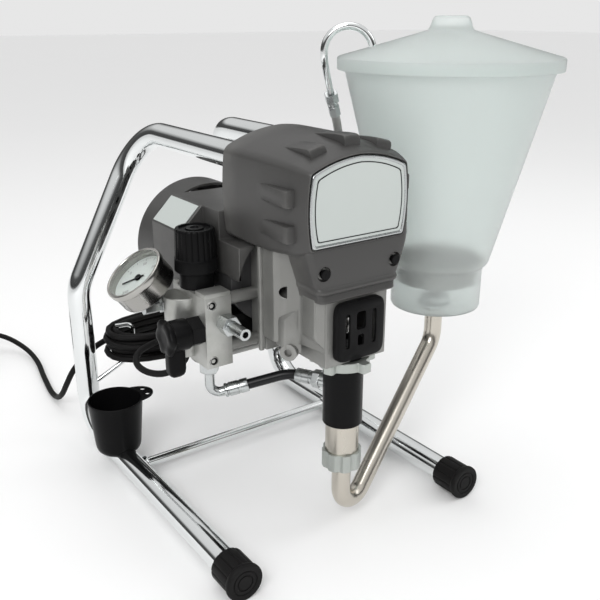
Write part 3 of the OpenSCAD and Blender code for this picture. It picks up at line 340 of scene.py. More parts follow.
def dress(piece, material, *replaced, slot=None):
    piece.data.materials.clear()
    piece.data.materials.append(material)
    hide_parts(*replaced)
    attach(piece, bodyOf[replaced[0]])
    return piece


def editWhole(piece):
    pick(piece)
    bpy.ops.object.mode_set(mode="EDIT")
    bpy.ops.mesh.select_all(action="SELECT")


def leaveEdit():
    bpy.ops.object.mode_set(mode="OBJECT")


def rounded(piece, width, segments=2, angle=32, clamped=True):
    bevel = piece.modifiers.new("bevel", "BEVEL")
    bevel.width = width / 1000
    bevel.segments = segments
    bevel.limit_method = "ANGLE"
    bevel.angle_limit = math.radians(angle)
    bevel.use_clamp_overlap = clamped
    applyModifiers(piece)
    return piece


def smoothed(piece, angle=35):
    pick(piece)
    bpy.ops.object.shade_smooth_by_angle(angle=math.radians(angle))
    return piece


def softEdged(nodeName, material, width=0.6, segments=2, angle=32):
    node = nodes[nodeName]
    piece = node.copy()
    piece.data = node.data.copy()
    piece.name = nodeName + "Finished"
    bpy.context.collection.objects.link(piece)
    editWhole(piece)
    bpy.ops.mesh.remove_doubles(threshold=0.00001)
    bpy.ops.mesh.dissolve_limited(angle_limit=math.radians(0.4))
    leaveEdit()
    if width:
        rounded(piece, width, segments, angle, False)
    smoothed(piece, angle)
    weighted = piece.modifiers.new("weighted", "WEIGHTED_NORMAL")
    weighted.keep_sharp = True
    applyModifiers(piece)
    return dress(piece, material, nodeName)


def ringShell(name, rings, closeStart=True, closeEnd=True, looped=False):
    clearSelection()
    bpy.ops.mesh.primitive_circle_add(vertices=len(rings[0]), radius=0.1)
    piece = bpy.context.object
    piece.name = name
    for vertex, place in zip(piece.data.vertices, rings[0]):
        vertex.co = place
    bpy.ops.object.mode_set(mode="EDIT")
    bpy.ops.mesh.select_mode(type="EDGE")
    bpy.ops.mesh.select_all(action="SELECT")
    for last, ring in zip(rings, rings[1:]):
        moved = {tuple(round(c, 6) for c in p): q for p, q in zip(last, ring)}
        bpy.ops.mesh.extrude_edges_move()
        mesh = bmesh.from_edit_mesh(piece.data)
        for vertex in mesh.verts:
            if vertex.select:
                vertex.co = moved[tuple(round(c, 6) for c in vertex.co)]
        bmesh.update_edit_mesh(piece.data)
    if closeEnd:
        bpy.ops.mesh.edge_face_add()
    if closeStart:
        mesh = bmesh.from_edit_mesh(piece.data)
        for edge in mesh.edges:
            edge.select_set(len(edge.link_faces) == 1)
        mesh.select_flush_mode()
        bmesh.update_edit_mesh(piece.data)
        bpy.ops.mesh.edge_face_add()
    bpy.ops.mesh.select_all(action="SELECT")
    if looped:
        bpy.ops.mesh.remove_doubles(threshold=0.000001)
    bpy.ops.mesh.normals_make_consistent(inside=False)
    leaveEdit()
    return piece


def spunPiece(name, profile, root, axis, steps=96):
    root, axis = Vector(root), Vector(axis).normalized()
    side = axis.orthogonal().normalized()
    clearSelection()
    bpy.ops.mesh.primitive_plane_add(size=0.01, location=(0, 0, 0))
    piece = bpy.context.object
    piece.name = name
    bpy.ops.object.mode_set(mode="EDIT")
    bpy.ops.mesh.select_mode(type="VERT")
    bpy.ops.mesh.merge(type="CENTER")
    places = [(root + axis * z / 1000 + side * r / 1000) for r, z in profile]
    bpy.ops.transform.translate(value=places[0])
    for last, place in zip(places, places[1:]):
        bpy.ops.mesh.extrude_vertices_move(TRANSFORM_OT_translate={"value": place - last})
    bpy.ops.mesh.select_all(action="SELECT")
    bpy.ops.mesh.spin(steps=steps, angle=2 * math.pi, center=root, axis=axis)
    bpy.ops.mesh.select_all(action="SELECT")
    bpy.ops.mesh.remove_doubles(threshold=0.00002)
    bpy.ops.mesh.normals_make_consistent(inside=False)
    leaveEdit()
    return piece


def turned(name, profile, root, axis, steps=96):
    return smoothed(spunPiece(name, profile, root, axis, steps), 30)


def joined(name, pieces):
    clearSelection()
    for piece in pieces:
        piece.select_set(True)
    bpy.context.view_layer.objects.active = pieces[0]
    bpy.ops.object.join()
    pieces[0].name = name
    return pieces[0]


def carved(piece, cutter, operation="DIFFERENCE"):
    cut = piece.modifiers.new("carve", "BOOLEAN")
    cut.operation = operation
    cut.solver = "EXACT"
    cut.object = cutter
    applyModifiers(piece)
    bpy.data.objects.remove(cutter)
    return piece


def bentPath(points, radii, step=5):
    p = [Vector(q) for q in points]
    path = [p[0]]
    for before, corner, after, r in zip(p, p[1:], p[2:], radii):
        ahead, onward = (corner - before).normalized(), (after - corner).normalized()
        turn = ahead.angle(onward)
        inward = (onward - ahead * ahead.dot(onward)).normalized()
        centre = corner - ahead * r * math.tan(turn / 2) + inward * r
        count = max(4, round(math.degrees(turn) / step))
        path += [centre - inward * r * math.cos(turn * i / count) + ahead * r * math.sin(turn * i / count)
                 for i in range(count + 1)]
    return path + [p[-1]]


def sweptTube(name, path, radius, sides=40):
    points = [at(*p) for p in path]
    points = [p for i, p in enumerate(points) if i == 0 or (p - points[i - 1]).length > 0.00002]
    rings, normal = [], None
    for i, p in enumerate(points):
        back = (p - points[i - 1]).normalized() if i else Vector()
        forth = (points[i + 1] - p).normalized() if i < len(points) - 1 else Vector()
        tangent = (back + forth).normalized()
        normal = tangent.orthogonal() if normal is None else normal - tangent * normal.dot(tangent)
        normal.normalize()
        across = tangent.cross(normal)
        turns = [2 * math.pi * k / sides for k in range(sides)]
        rings.append([p + radius / 1000 * (normal * math.cos(a) + across * math.sin(a)) for a in turns])
    return smoothed(ringShell(name, rings), 40)


def roundedRing(centre, first, second, square, count=48):
    ring = []
    for i in range(count):
        c, v = math.cos(2 * math.pi * i / count), math.sin(2 * math.pi * i / count)
        u = math.copysign(abs(c) ** (2 / square), c)
        w = math.copysign(abs(v) ** (2 / square), v)
        ring.append(at(*(Vector(centre) + Vector(first) * u + Vector(second) * w)))
    return ring


def lobedRing(place, axis, level, count, lobe):
    z, radius, depth = level
    forward, side = Vector(axis).normalized(), Vector((1, 0, 0))
    up, ring = forward.cross(side), []
    for i in range(count):
        a = 2 * math.pi * i / count
        r = radius - depth * lobe(a)
        ring.append(at(*(Vector(place) + forward * z + side * r * math.cos(a) + up * r * math.sin(a))))
    return ring


# Front cover: an arched shell with a rounded front, a groove round the plate, and raised ribs

cover = {
    "x": -3.5, "width": 143, "low": 318, "high": 427, "lowRound": 8, "highRound": 10, "crown": 15,
    "bulge": 3.5, "wall": 2.5, "openFrom": 38, "tilt": 26,
    "front": [(152, 0), (120, 0), (90, 0), (82, 0.2), (70, 1.1), (58, 2.3), (47, 3.4), (42, 4), (39, 4.8),
              (34, 6.4), (28, 8.4), (23.6, 10.2), (21.2, 11.3), (20.4, 12), (20.5, 12.5), (22.4, 12.9),
              (23.8, 13.5), (23.8, 18)],
    "ribLength": [(33.8, 0.4), (34, 5), (34.8, 7), (36.6, 8), (40, 8.3), (50, 8.1), (62, 7.2), (76, 5.6),
                  (88, 4), (98, 2)],
    "ribRoot": 5, "topRibs": (-38, 0, 38), "topRibWidth": 18, "topSweep": 190, "topLean": 14,
    "sideRibs": (345, 378), "sideRibWidth": 16, "sideMiddle": 366, "sideReach": 46,
}


def archPoint(corner, r, angle):
    return (corner[0] + r * math.cos(math.radians(angle)), corner[1] + r * math.sin(math.radians(angle)))


def archOutline(inset, y):
    half = cover["width"] / 2 - inset
    low, high = cover["low"] + inset, cover["high"] - inset
    lowR, highR = max(2, cover["lowRound"] - 0.4 * inset), max(4, cover["highRound"] - 0.5 * inset)
    crown = cover["crown"] * half * 2 / cover["width"]
    steep = 90 - cover["tilt"]
    shoulder = (half - highR, high - crown - highR * math.sin(math.radians(steep)))
    line = [archPoint((half - lowR, low + lowR), lowR, -90 + 90 * i / 7) for i in range(8)]
    line += [(half, low + lowR + (shoulder[1] - low - lowR) * i / 9) for i in range(1, 9)]
    line += [archPoint(shoulder, highR, steep * i / 9) for i in range(10)]
    endX, endZ = line[-1]
    rise = high - endZ
    sweep = (endX**2 + rise**2) / (2 * rise)
    spread = math.asin(endX / sweep)
    line += [(sweep * math.sin(spread * (1 - i / 12)), high - sweep + sweep * math.cos(spread * (1 - i / 12)))
             for i in range(1, 13)]
    line += [(-x, z) for x, z in line[-2::-1]]
    line += [(-(half - lowR) + 2 * (half - lowR) * i / 16, low) for i in range(1, 16)]
    middleZ, reach = (low + high - crown) / 2, (high - crown - low) / 2
    outline = []
    for x, z in line:
        drawn = cover["bulge"] * min(1, ((z - middleZ) / reach) ** 2)
        outline.append(at(cover["x"] + x - math.copysign(min(abs(x), drawn), x), y, z))
    return outline


def ribShell(name, width, place, up, side):
    rings = []
    for y, height in cover["ribLength"]:
        grow = min(1, height / 3)
        half = width / 2 - 1.5 * (1 - grow)
        edge = [(half, -3), (half, height - 1.6), (half - 0.5, height - 0.6), (half - 1.8, height)]
        section = [(-s, u) for s, u in edge] + [(0, height + 0.1)] + edge[::-1]
        root = Vector(place) + Vector((0, y, 0))
        rings.append([at(*(root + Vector(side) * s + Vector(up) * u)) for s, u in section])
    return ringShell(name, rings)


coverRings = [archOutline(inset, y) for y, inset in cover["front"]]
coverShell = ringShell("frontCoverShell", coverRings, False, False)
pick(coverShell)
bpy.ops.object.mode_set(mode="EDIT")
mesh = bmesh.from_edit_mesh(coverShell.data)
for face in mesh.faces:
    centre = face.calc_center_median()
    face.select_set(face.normal.z < -0.9 and centre.y > at(0, cover["openFrom"], 0).y)
bmesh.update_edit_mesh(coverShell.data)
bpy.ops.mesh.delete(type="FACE")
leaveEdit()
thick = coverShell.modifiers.new("wall", "SOLIDIFY")
thick.thickness = cover["wall"] / 1000
thick.offset = -1
applyModifiers(coverShell)
for x in cover["topRibs"]:
    z = cover["high"] - cover["ribRoot"] - x**2 / cover["topSweep"]
    lean = math.radians(x / cover["topRibs"][2] * cover["topLean"])
    up, across = (math.sin(lean), 0, math.cos(lean)), (math.cos(lean), 0, -math.sin(lean))
    rib = ribShell("topRib", cover["topRibWidth"], (cover["x"] + x, 0, z), up, across)
    carved(coverShell, rib, "UNION")
for side in (-1, 1):
    for z in cover["sideRibs"]:
        drawn = cover["bulge"] * ((z - cover["sideMiddle"]) / cover["sideReach"]) ** 2
        place = (cover["x"] + side * (cover["width"] / 2 - cover["ribRoot"] - drawn), 0, z)
        rib = ribShell("sideRib", cover["sideRibWidth"], place, (side, 0, 0), (0, 0, -side))
        carved(coverShell, rib, "UNION")
smoothed(coverShell, 28)
dress(coverShell, darkPlastic, "front_cover")
print("front cover shaped")


# Plate on the cover: a bright rim, a margin and a thin dark line round a bare panel

plate = {
    "rim": [(23.6, 13.7), (20.2, 13.9), (19.5, 14.4), (19.3, 15.4), (19.6, 16.2), (20.3, 16.5), (20.5, 17)],
    "line": (20.2, 19.6, 20.5), "lineDepth": 0.4,
}

plateShell = ringShell("frontPlate", [archOutline(inset, y) for y, inset in plate["rim"]])
y, outer, inner = plate["line"]
corners = ((outer, plate["lineDepth"]), (outer, 0), (inner, 0), (inner, plate["lineDepth"]))
lineRings = [archOutline(inset, y + deep) for inset, deep in corners]
plateLine = ringShell("frontPlateLine", lineRings + lineRings[:1], False, False, True)
dress(smoothed(plateShell, 40), satinPlate, "cover_plate")
plateShell.data.materials.append(brightZinc)
for face in plateShell.data.polygons:
    face.material_index = 0 if len(face.vertices) > 4 else 1
dress(smoothed(plateLine), blackPlastic, "cover_plate", slot="black_plastic")


# Chin under the plate, with the pockets of its two screws and a folded lower lip

chin = {
    "levels": [(340, 62, 22.5), (331, 61.5, 21.6), (322, 60, 21.2), (310, 56.5, 21.4), (300, 53, 21.8),
               (294, 51, 22.2), (291, 50, 22.4), (289.6, 50, 21), (288, 50, 20.3), (286, 49.4, 20.3),
               (284.6, 48.6, 21.2), (283.4, 48, 22.6), (280, 47, 21.6), (277, 46.4, 20.8),
               (275.6, 46.2, 22), (275.4, 45.6, 26)],
    "back": 58, "corner": 7, "screwX": 43, "screwZ": 306, "pocket": 7.5, "pocketFrom": 14, "pocketDepth": 12,
}


def chinOutline(z, half, front):
    r = chin["corner"]
    corner = [archPoint((half - r, front + r), r, a - 90) for a in range(0, 91, 15)]
    line = [(half * part, front) for part in (0, 0.25, 0.5, 0.75)] + corner + [(half, chin["back"])]
    left = [(-x, y) for x, y in line[:0:-1]]
    return [at(x, y, z) for x, y in line + left]


chinShell = ringShell("coverChin", [chinOutline(*level) for level in chin["levels"]])
for side in (-1, 1):
    pocketR, pocketDepth = chin["pocket"], chin["pocketDepth"]
    pocketOutline = [(0, 0), (pocketR, 0), (pocketR, pocketDepth), (0, pocketDepth)]
    pocketFoot = at(side * chin["screwX"], chin["pocketFrom"], chin["screwZ"])
    carved(chinShell, spunPiece("screwPocket", pocketOutline, pocketFoot, (0, 1, 0), 32))
dress(smoothed(chinShell, 35), darkPlastic, "front_cover")
print("plate and chin shaped")


# Pressure knob: a smooth skirt, narrow flutes above it and a cap with a sunk ring

knob = {
    "axis": (-105, 159), "foot": 285.4, "flutes": 20, "points": 160,
    "profile": [(0, 19, 0), (0.5, 21.4, 0), (2, 22.3, 0), (13, 22.4, 0), (14.6, 21.9, 0),
                (15.2, 21.2, 0.2), (16.5, 21.2, 1), (30, 20.9, 1.1), (42, 20.6, 1.1),
                (44.4, 20.3, 0.8), (45.7, 19.4, 0.2), (46, 18.2, 0), (45.9, 16.6, 0), (44, 16.2, 0),
                (44, 9.6, 0), (45.6, 9.2, 0), (45.7, 4.5, 0), (44.6, 4.2, 0), (44.5, 1.5, 0)],
}


def flute(a):
    return max(0, math.cos(knob["flutes"] * a)) ** 3


knobFoot = (*knob["axis"], knob["foot"])
knobRings = [lobedRing(knobFoot, (0, 0, 1), level, knob["points"], flute) for level in knob["profile"]]
knobCap = ringShell("pressureKnobGrip", knobRings)
dress(smoothed(knobCap, 30), blackPlastic, "pressure_knob")
print("knob shaped")


# Gauge: a turned case with a rolled rim, a printed dial and its lens

gauge = {
    "place": (-147, 184, 266), "lean": 38,
    "case": [(0, -6), (7, -6), (7, -0.8), (20, -0.6), (29.5, 0), (31.4, 1.2), (32, 3), (32, 19.6),
             (32.4, 20.6), (33.2, 21.2), (33.5, 22.4), (33.5, 26.2), (33.1, 27.4), (32.2, 28), (30.8, 28),
             (30.2, 27.4), (30, 26.5), (30, 16), (0, 16)],
    "sweep": 270, "middle": -45, "majors": 10, "minors": 5, "labels": 5, "labelStep": 50,
    "labelRadius": 20, "labelSize": 5.2, "printHeight": 17.6, "markEnd": 28,
    "major": (24.5, 0.7), "minor": (26.3, 0.3),
}
gaugeTurn = Matrix.Translation(at(*gauge["place"])) @ Matrix.Rotation(math.radians(-gauge["lean"]), 4, "Y")
gaugeAxis = gaugeTurn.to_3x3() @ Vector((0, 0, 1))


def onGauge(x, y, z):
    return gaugeTurn @ Vector((x / 1000, y / 1000, z / 1000))


gaugeShell = turned("gaugeShell", gauge["case"], onGauge(0, 0, 0), gaugeAxis)
dress(gaugeShell, gaugeSteel, "gauge_case", slot="stainless")


def dialMark(angle, inner, width):
    clearSelection()
    bpy.ops.mesh.primitive_cube_add(size=1)
    mark = bpy.context.object
    outer, z = gauge["markEnd"], gauge["printHeight"]
    mark.matrix_world = (gaugeTurn @ Matrix.Rotation(math.radians(angle), 4, "Z")
                         @ Matrix.Translation(((inner + outer) / 2000, 0, z / 1000))
                         @ Matrix.Diagonal(((outer - inner) / 1000, width / 1000, 0.0002, 1)))
    bpy.ops.object.transform_apply(location=True, rotation=True, scale=True)
    return mark


marks = []
steps = gauge["majors"] * gauge["minors"]
for i in range(steps + 1):
    angle = gauge["middle"] - gauge["sweep"] * (i / steps - 0.5)
    marks.append(dialMark(angle, *gauge["minor" if i % gauge["minors"] else "major"]))


def dialNumber(value, angle):
    clearSelection()
    bpy.ops.object.text_add()
    number = bpy.context.object
    number.data.body = str(value)
    number.data.size = gauge["labelSize"] / 1000
    number.data.align_x = "CENTER"
    number.data.align_y = "CENTER"
    number.data.extrude = 0.0001
    x, y = archPoint((0, 0), gauge["labelRadius"], angle)
    place = Matrix.Translation((x / 1000, y / 1000, gauge["printHeight"] / 1000))
    number.matrix_world = gaugeTurn @ place @ Matrix.Rotation(math.radians(gauge["middle"]), 4, "Z")
    bpy.ops.object.convert(target="MESH")
    bpy.ops.object.transform_apply(location=True, rotation=True, scale=True)
    editWhole(bpy.context.object)
    bpy.ops.mesh.remove_doubles(threshold=0.0000005)
    leaveEdit()
    return bpy.context.object


for i in range(gauge["labels"] + 1):
    angle = gauge["middle"] - gauge["sweep"] * (i / gauge["labels"] - 0.5)
    marks.append(dialNumber(gauge["labelStep"] * i, angle))
dialPrint = joined("gaugeMarks", marks)
dialPrint.data.materials.clear()
dialPrint.data.materials.append(dialInk)
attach(dialPrint, "machine")
print("gauge shaped")


# Hopper and lid: thin turned shells, a rim on the hopper, a knob on the lid and a hole for the tube

hopper = {
    "axis": (174, 93), "foot": 211.7, "cupHeight": 52, "coneHeight": 215, "wall": 2.2,
    "outside": [(13, 0), (49, 0), (51, 0.8), (52, 3), (52, 45), (52.6, 46.4), (53, 49), (54.4, 51),
                (57, 53.4), (58.6, 56)],
    "rimOutside": [(111.4, 263.8), (112.6, 266), (116.4, 266.8), (117, 268), (117, 275)],
}
hopperRoot = at(hopper["axis"][0], hopper["axis"][1], hopper["foot"])
outside = hopper["outside"] + hopper["rimOutside"]
inside = [(r - hopper["wall"], z + (2 if z < 10 else 0.6)) for r, z in reversed(outside)]
inside = [(inside[0][0], outside[-1][1])] + [(r, z) for r, z in inside[1:] if r > 14] + [(13, 3)]
hopperShell = turned("hopperBody", outside + inside + outside[:1], hopperRoot, (0, 0, 1), 128)
dress(hopperShell, hopperWhite, "hopper")

lid = {
    "outline": [(117.5, -1), (119.3, -1), (119.9, -0.4), (120, 0.6), (120, 10), (119.4, 11.6),
                (117.6, 12.6), (100, 17.4), (60, 28.6), (28, 37.6), (24.5, 38.8), (22.4, 41.6),
                (20.6, 47), (19, 51), (16.6, 52.8), (12, 53), (0, 53), (0, 36.6), (20, 36.4),
                (60, 26.2), (100, 15), (117.4, 9), (117.5, 8)],
    "holeBearing": 145, "holeOut": 82, "holeRadius": 4.9,
}
lidRoot = hopperRoot + Vector((0, 0, (hopper["cupHeight"] + hopper["coneHeight"]) / 1000))
lidShell = spunPiece("lidShell", lid["outline"] + lid["outline"][:1], lidRoot, (0, 0, 1), 128)
hx, hy = archPoint((0, 0), lid["holeOut"], lid["holeBearing"])
holeOutline = [(0, -20), (lid["holeRadius"], -20), (lid["holeRadius"], 80), (0, 80)]
carved(lidShell, spunPiece("tubeHole", holeOutline, lidRoot + Vector((hx, hy, 0)) / 1000, (0, 0, 1), 32))
dress(smoothed(lidShell, 30), hopperWhite, "hopper_lid")
print("hopper and lid shaped")


# Stand: even round tubes with true bends, a welded crossbar and moulded rubber feet

stand = {
    "half": 149.5, "top": 50, "length": 402, "knee": 206, "topHeight": 397, "barFront": 98, "radius": 14.3,
    "head": 19.6, "footEnd": 6, "rearBend": 50, "topBend": 65, "crossbar": 260, "crossbarRadius": 6,
    "bead": [(5.6, 0), (9.4, 0), (9, 1.6), (8, 2.8), (6.8, 3.6), (5.6, 4), (5.6, 0)],
}
tilt = math.asin((stand["head"] - stand["radius"]) / stand["length"])
rearCorner = stand["radius"] - stand["rearBend"] * math.tan(math.radians(45) + tilt / 2) * math.sin(tilt)


def legHeight(y):
    return stand["head"] - y * math.sin(tilt)


for side, nodeName in ((-1, "left_frame_tube"), (1, "right_frame_tube")):
    legX, barX = side * stand["half"], side * stand["top"]
    corners = [(legX, stand["footEnd"], legHeight(stand["footEnd"])), (legX, stand["length"], rearCorner),
               (legX, stand["length"], stand["knee"]), (barX, stand["length"], stand["topHeight"]),
               (barX, stand["barFront"], stand["topHeight"])]
    path = bentPath(corners, (stand["rearBend"], stand["topBend"], stand["topBend"]), 4)
    dress(sweptTube(nodeName + "Swept", path, stand["radius"], 64), chrome, nodeName)
barY, barZ = stand["crossbar"], legHeight(stand["crossbar"])
barEnd = stand["half"] - stand["radius"]
barPath = [(-barEnd - 2, barY, barZ), (barEnd + 2, barY, barZ)]
crossbarPieces = [sweptTube("crossbarRod", barPath, stand["crossbarRadius"])]
for side in (-1, 1):
    bead = spunPiece("weldBead", stand["bead"], at(side * (barEnd + 0.4), barY, barZ), (-side, 0, 0), 40)
    crossbarPieces.append(smoothed(bead, 50))
dress(joined("crossbarWelded", crossbarPieces), chrome, "crossbar")

foot = {
    "panels": 12, "points": 144,
    "levels": [(0.6, 1, 0), (0.6, 7.2, 0), (1.4, 7.5, 0), (1.4, 8.6, 0), (0.5, 8.9, 0), (0.5, 11.8, 0),
               (1.3, 12.2, 0), (1.3, 13.4, 0), (0.6, 13.8, 0), (0, 17.2, 0), (0.3, 18.9, 0),
               (1.4, 19.8, 0), (3, 20, 0), (4.8, 19.8, 0), (6.2, 19.1, 0), (7, 18.5, 0),
               (7.6, 18.6, 0.9), (34.4, 18.6, 0.9), (35.6, 18.1, 0.5), (36, 17.2, 0), (36, 15, 0),
               (35.5, 14.35, 0), (6.2, 14.35, 0)],
}


def panelGroove(a):
    return max(0, math.cos(foot["panels"] * a)) ** 8


for side, nodeName in ((-1, "left_foot"), (1, "right_foot")):
    root, legAxis = (side * stand["half"], 0, stand["head"]), (0, math.cos(tilt), -math.sin(tilt))
    footRings = [lobedRing(root, legAxis, level, foot["points"], panelGroove) for level in foot["levels"]]
    footShell = ringShell(nodeName + "Moulded", footRings)
    editWhole(footShell)
    bpy.ops.mesh.bisect(plane_co=(0, 0, 0.00005), plane_no=(0, 0, 1), use_fill=True, clear_inner=True)
    leaveEdit()
    dress(smoothed(footShell, 34), rubber, nodeName)


# Cord hook, suction pipe and return line

hook = {"root": (-138.2, 394, 76), "turn": (-88, 385, 106), "rise": 42, "tip": (-24, 0, 2), "bends": (9, 9),
        "radius": 3}
hookTop = Vector(hook["turn"]) + Vector((0, 0, hook["rise"]))
hookCorners = [hook["root"], hook["turn"], hookTop, hookTop + Vector(hook["tip"])]
hookPath = bentPath(hookCorners, hook["bends"], 10)
dress(sweptTube("cordHookSwept", hookPath, hook["radius"], 20), chrome, "cord_hook")

pipe = {"pump": (0, 45), "top": 86, "radius": 10.3, "turn": 22.5, "upper": 30, "slope": 43.5, "lift": 14}
run = Vector((hopper["axis"][0] - pipe["pump"][0], hopper["axis"][1] - pipe["pump"][1]))
slope = math.radians(pipe["slope"])
pipeLow = pipe["lift"] + pipe["radius"] + pipe["turn"] - pipe["turn"] * math.tan(math.radians(45) + slope / 2)
pipeHigh = pipeLow + run.length * math.tan(slope)
pipeCorners = [(*pipe["pump"], pipe["top"]), (*pipe["pump"], pipeLow), (*hopper["axis"], pipeHigh),
               (*hopper["axis"], hopper["foot"] - 6)]
pipePath = bentPath(pipeCorners, (pipe["turn"], pipe["upper"]), 4)
dress(sweptTube("suctionPipeSwept", pipePath, pipe["radius"], 56), stainless, "suction_pipe")

line = {
    "radius": 4, "out": 134, "foot": (86, 186, 450.7), "high": 495.7, "low": 464.7, "hoseRadius": 5,
    "hoseCorners": [(-105, 174, 193), (-105, 174, 178), (86, 174, 178), (112, 188, 300)], "hoseEnd": (58, 32),
    "hoseBends": (10, 25, 80, 40),
}


def tubePlace(out, z):
    return Vector((*archPoint(hopper["axis"], out, lid["holeBearing"]), z))


bow = (line["out"] - lid["holeOut"]) / 2
tubeCorners = [tubePlace(lid["holeOut"], line["low"]), tubePlace(lid["holeOut"], line["high"] + bow),
               tubePlace(line["out"], line["high"] + bow), tubePlace(line["out"], line["high"] - 9),
               line["foot"]]
tubePath = bentPath(tubeCorners, (bow, bow, 25))
dress(sweptTube("returnTubeSwept", tubePath, line["radius"], 32), chrome, "return_tube")
lineFoot = Vector(line["foot"])
down = (lineFoot - tubeCorners[3]).normalized()
hoseCorners = line["hoseCorners"] + [lineFoot + reach * down for reach in line["hoseEnd"]]
hosePath = bentPath(hoseCorners, line["hoseBends"])
dress(sweptTube("returnHoseSwept", hosePath, line["hoseRadius"], 32), braid, "return_hose")


# Pressure hose with its elbow and ferrules

hose = {"elbow": (-105, 140, 151), "corner": (-31, 98.69, 172), "port": (-16.5, 73.58, 172), "radius": 5.5,
        "top": 178, "elbowRadius": 5.2, "elbowReach": 16, "portBearing": 120, "portPart": 20 / 26,
        "ferrule": [(5.4, 0), (7.2, 0.2), (7.6, 0.9), (7.6, 2.8), (6.8, 3.6), (6.8, 4.4), (7.6, 5.2),
                    (7.6, 14.6), (7.1, 15.4), (7.1, 17), (7.6, 17.8), (7.6, 24.8), (7.2, 25.8), (5.4, 26)],
        "nut": [(0, 0), (8, 0), (9.6, 0.8), (10.4, 2.4), (10.4, 13.6), (9.6, 15.2), (8, 16), (0, 16)]}
elbow = Vector(hose["elbow"])
hoseDirection = (Vector(hose["corner"]) - elbow).normalized()
hoseStart = elbow + hose["elbowReach"] * hoseDirection
elbowPath = bentPath([(elbow.x, elbow.y, hose["top"]), elbow, hoseStart], (10,), 6)
elbowNut = spunPiece("elbowNut", hose["nut"], at(elbow.x, elbow.y, hose["top"] - 1), (0, 0, 1), 6)
elbowPieces = [sweptTube("elbowRod", elbowPath, hose["elbowRadius"], 32), smoothed(elbowNut, 20)]
dress(joined("hoseElbowTurned", elbowPieces), brightZinc, "hose_elbow")
pressurePath = bentPath([hoseStart, hose["corner"], hose["port"]], (40,), 5)
dress(sweptTube("pressureHoseSwept", pressurePath, hose["radius"], 40), hoseRubber, "pressure_hose")
portDirection = Vector((*archPoint((0, 0), 1, hose["portBearing"]), 0))
ferrule = hose["ferrule"] + hose["ferrule"][:1]
shortFerrule = [(r, z * hose["portPart"]) for r, z in ferrule]
ferrules = [turned("ferruleTurned", ferrule, at(*hoseStart), hoseDirection, 48),
            turned("ferruleTurned", shortFerrule, at(*hose["port"]), portDirection, 48)]
dress(joined("hoseFerrulesTurned", ferrules), brightZinc, "hose_ferrules")
print("tubes and hoses swept")


# Lock nut: a flat ring with five lugs

lockNut = {
    "foot": (0, 45, 196), "lugs": 5, "start": -83, "points": 180, "flank": 5, "root": 2.75,
    "levels": [(0, 21, 0), (0, 26.4, -7.4), (0.8, 27, -8), (9.2, 27, -8), (10, 26.4, -7.4), (10, 21, 0)],
}


def lugShape(a):
    wave = math.cos(lockNut["lugs"] * (a - math.radians(lockNut["start"])))
    return min(1, max(0, wave * lockNut["flank"] - lockNut["root"]))


nutRings = [lobedRing(lockNut["foot"], (0, 0, 1), level, lockNut["points"], lugShape)
            for level in lockNut["levels"]]
nutShell = ringShell("lockNutLugged", nutRings + nutRings[:1], False, False, True)
dress(smoothed(nutShell, 30), mattZinc, "lock_nut")


# Prime valve handle: a hub, a wavy disc on its end, and a lever with a round end

handle = {
    "root": (-134.4, 130, 232), "waves": 6, "phase": 1.2, "leverOut": 13.5,
    "hub": [(0, 0), (15, 0), (16, 0.8), (16.2, 2), (16.2, 17), (15.4, 18.6), (14, 19.4), (0, 19.4)],
    "disc": [(19, 12, 0), (19.2, 15.8, 0.4), (20, 17.6, 0.9), (21.5, 18.3, 1.2), (23.4, 18.2, 1.2),
             (25, 17, 1), (25.9, 14.6, 0.6), (26, 11, 0.2), (25.2, 8.4, 0), (24.8, 5, 0), (24.8, 1, 0)],
    "lever": [(229, 9, 6.6), (216, 9.3, 7), (204, 9.5, 7.5), (197, 9.4, 7.6), (193, 8.8, 7.2),
              (190.4, 7.4, 6), (188.8, 5.2, 4.4), (188.1, 2.6, 2)],
}
root = Vector(handle["root"])


def wavyRing(out, r, wave):
    ring = []
    for k in range(96):
        a = 2 * math.pi * k / 96
        x = root.x - out - 0.5 * wave * math.cos(handle["waves"] * a + handle["phase"])
        reach = r + wave * math.cos(handle["waves"] * a)
        ring.append(at(x, root.y + reach * math.cos(a), root.z + reach * math.sin(a)))
    return ring


leverX = root.x - handle["leverOut"]
leverRings = [roundedRing((leverX, root.y, z), (a, 0, 0), (0, b, 0), 4) for z, a, b in handle["lever"]]
handlePieces = [turned("valveHub", handle["hub"], at(*root), (-1, 0, 0), 72),
                smoothed(ringShell("valveDisc", [wavyRing(*level) for level in handle["disc"]]), 40),
                smoothed(ringShell("valveLever", leverRings), 50)]
dress(joined("primeValveLever", handlePieces), blackPlastic, "prime_valve_handle")


# Drip cup: a deep cup with a rounded foot, saddled on the leg, and a tab with two slots

cup = {
    "axis": (-149.5, 306), "legGap": 0.05, "bore": 31.3, "tabFrom": 12, "slotAt": 39.5, "slot": (3.2, 4.6),
    "profile": [(0, 19), (19, 19), (23, 20.2), (26, 23), (27.6, 27), (28.3, 32), (32.9, 84),
                (33.4, 87), (33.4, 88.4), (32.6, 89), (31.6, 88.6), (31.1, 86), (26.6, 40), (25, 36.6),
                (22, 35), (0, 35)],
    "tab": (15, 34, 20), "tabLevels": [(85.8, 0.7), (86.2, 0), (88.4, 0), (88.9, 0.7)], "slots": (-7.5, 7.5),
}
cx, cy = cup["axis"]
cupShell = spunPiece("dripCupShell", cup["profile"], at(cx, cy, 0), (0, 0, 1), 96)
legRadius = stand["radius"] + cup["legGap"]
legOutline = [(0, 0), (legRadius, 0), (legRadius, stand["length"]), (0, stand["length"])]
carved(cupShell, spunPiece("legCut", legOutline, at(cx, 0, stand["head"]), legAxis, 64))
tabIn, tabOut, tabHalf = cup["tab"]
tabRings = []
